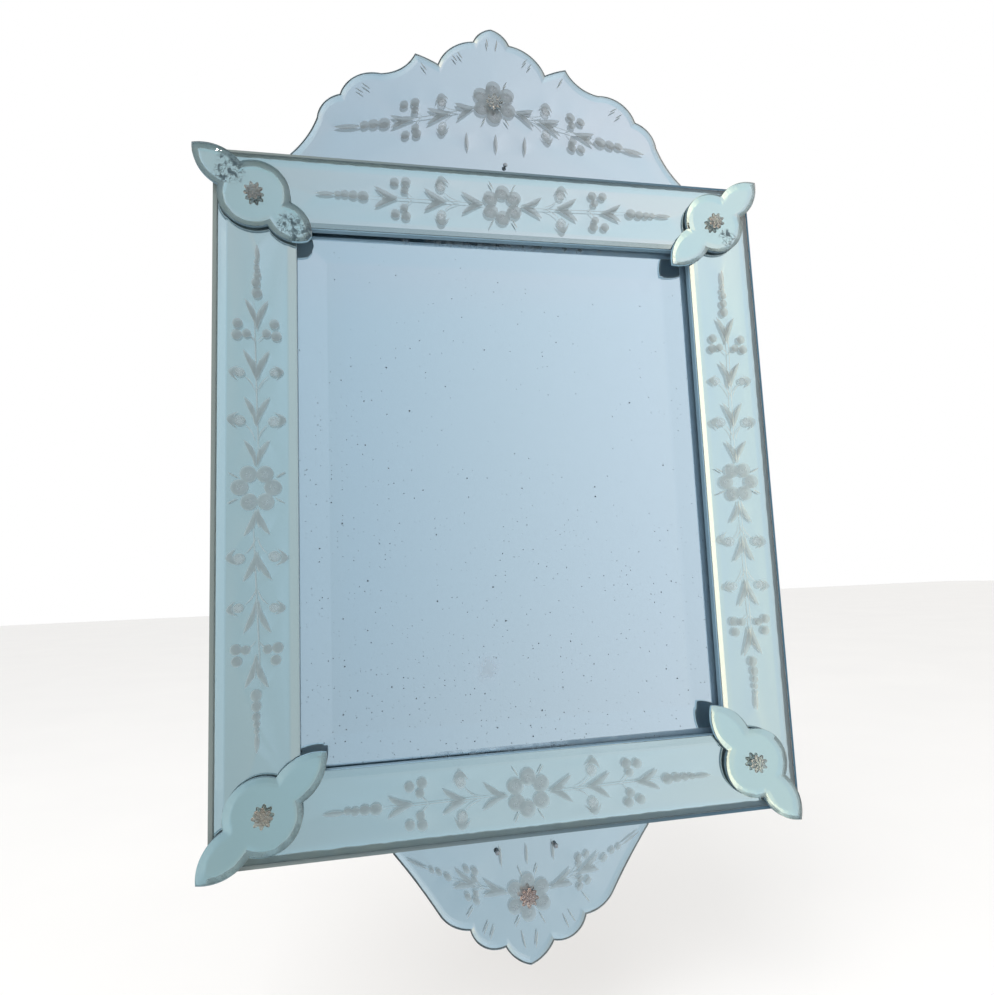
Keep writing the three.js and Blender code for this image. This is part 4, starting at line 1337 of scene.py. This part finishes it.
class MIRROR_OT_stage(bpy.types.Operator):
    """A pale floor, soft light and the camera at the photograph's place"""

    bl_idname = "mirror.stage"
    bl_label = "Stage"

    def execute(self, context):
        stage = context.scene.mirror_stage
        self.camera(context, stage)
        self.floor(stage)
        self.sky(context)
        self.lamps()
        context.scene.view_settings.view_transform = "Standard"
        context.scene.view_settings.look = "None"
        return {"FINISHED"}

    def camera(self, context, stage):
        data = bpy.data.cameras.new("camera")
        data.sensor_fit = "HORIZONTAL"
        data.sensor_width = SENSOR_WIDTH
        data.lens = stage.lens
        data.clip_start = NEAREST_SEEN
        camera = new_object("camera", data)
        back = -Vector(stage.forward).normalized()
        right = Vector(stage.upward).cross(back).normalized()
        up = back.cross(right)
        camera.matrix_world = Matrix.Translation(stage.eye) @ Matrix((right, up, back)).transposed().to_4x4()
        context.scene.camera = camera

    def floor(self, stage):
        level = CAD_BOX[0][2] - stage.floor_drop
        mesh = bpy.data.meshes.new("floor")
        corners = ((-1, -1), (1, -1), (1, 1), (-1, 1))
        mesh.from_pydata([(x * FLOOR_HALF, y * FLOOR_HALF, level) for x, y in corners], [], [(0, 1, 2, 3)])
        w, shader, where = material("floor_paint")
        pale = w.mixed(w.noise(where, 3.0, 2.0), grey(0.86), (0.9, 0.9, 0.895))
        w.feed(shader, Base_Color=pale, Roughness=0.9)
        mesh.materials.append(bpy.data.materials["floor_paint"])
        floor = new_object("floor", mesh)
        self.unseen_in_glass(floor)

    def unseen_in_glass(self, thing):
        thing.visible_glossy = False
        thing.visible_transmission = False

    def sky(self, context):
        """A pale room: white to the camera, and a soft blue grey gradient to the glass."""
        world = bpy.data.worlds.new("room")
        context.scene.world = world
        world.use_nodes = True
        world.node_tree.nodes.clear()
        w = Wiring(world.node_tree)
        direction = w.add("ShaderNodeTexCoord").outputs["Generated"]
        x, _, z = w.split(direction)
        level = w.maths("SQRT", w.minus(1.0001, w.times(z, z)))
        across = w.plus(w.times(w.over(x, level), 0.5), 0.5)
        side = w.ramp(across, SIDE_LIGHT)
        shade = w.ramp(w.plus(w.times(z, 0.5), 0.5), RISING_LIGHT)
        colour = w.mixed(1.0, side, shade, "MULTIPLY")
        path = w.add("ShaderNodeLightPath").outputs
        seen = w.larger(path["Is Camera Ray"], path["Is Diffuse Ray"])
        room = w.add("ShaderNodeBackground", Color=colour, Strength=1.0)
        plain = w.add("ShaderNodeBackground", Color=grey(1.0), Strength=1.0)
        mix = w.add("ShaderNodeMixShader", Fac=seen)
        w.put(mix, 1, room.outputs[0])
        w.put(mix, 2, plain.outputs[0])
        w.add("ShaderNodeOutputWorld", Surface=mix.outputs[0])

    def lamps(self):
        """One broad soft light from the upper left, and a small one, far to the side, that glints."""
        for name, (at, size, power) in LAMPS.items():
            data = bpy.data.lights.new(name, "AREA")
            data.size = size
            data.energy = power
            lamp = new_object(name, data)
            lamp.location = at
            lamp.rotation_euler = (Vector(LIT_PLACE) - Vector(at)).to_track_quat("-Z", "Y").to_euler()
            if name == "soft":
                self.unseen_in_glass(lamp)


OPERATORS = (MIRROR_OT_finishes, MIRROR_OT_centre, MIRROR_OT_strips, MIRROR_OT_scallops, MIRROR_OT_medallions,
             MIRROR_OT_rosettes, MIRROR_OT_woodwork, MIRROR_OT_stage)


class MIRROR_PT_pieces(bpy.types.Panel):
    """Lists the pieces of the mirror"""

    bl_idname = "MIRROR_PT_pieces"
    bl_label = "Wall mirror"
    bl_space_type = "VIEW_3D"
    bl_region_type = "UI"
    bl_category = "Mirror"

    def draw(self, context):
        for operator in OPERATORS:
            self.layout.operator(operator.bl_idname)


GROUPS = {"mirror_glass": GlassSizes, "mirror_flowers": FlowerSizes, "mirror_colours": Colours,
          "mirror_stage": StageSizes}


def register():
    for kind in (*GROUPS.values(), *OPERATORS, MIRROR_PT_pieces):
        bpy.utils.register_class(kind)
    for name, group in GROUPS.items():
        setattr(bpy.types.Scene, name, PointerProperty(type=group))


def unregister():
    for name in GROUPS:
        delattr(bpy.types.Scene, name)
    for kind in (MIRROR_PT_pieces, *reversed(OPERATORS), *GROUPS.values()):
        bpy.utils.unregister_class(kind)


def main():
    register()
    bpy.ops.mirror.finishes()
    bpy.ops.mirror.centre()
    bpy.ops.mirror.strips()
    bpy.ops.mirror.scallops()
    bpy.ops.mirror.medallions()
    bpy.ops.mirror.rosettes()
    bpy.ops.mirror.woodwork()
    bpy.ops.mirror.stage()


if __name__ == "__main__":
    main()
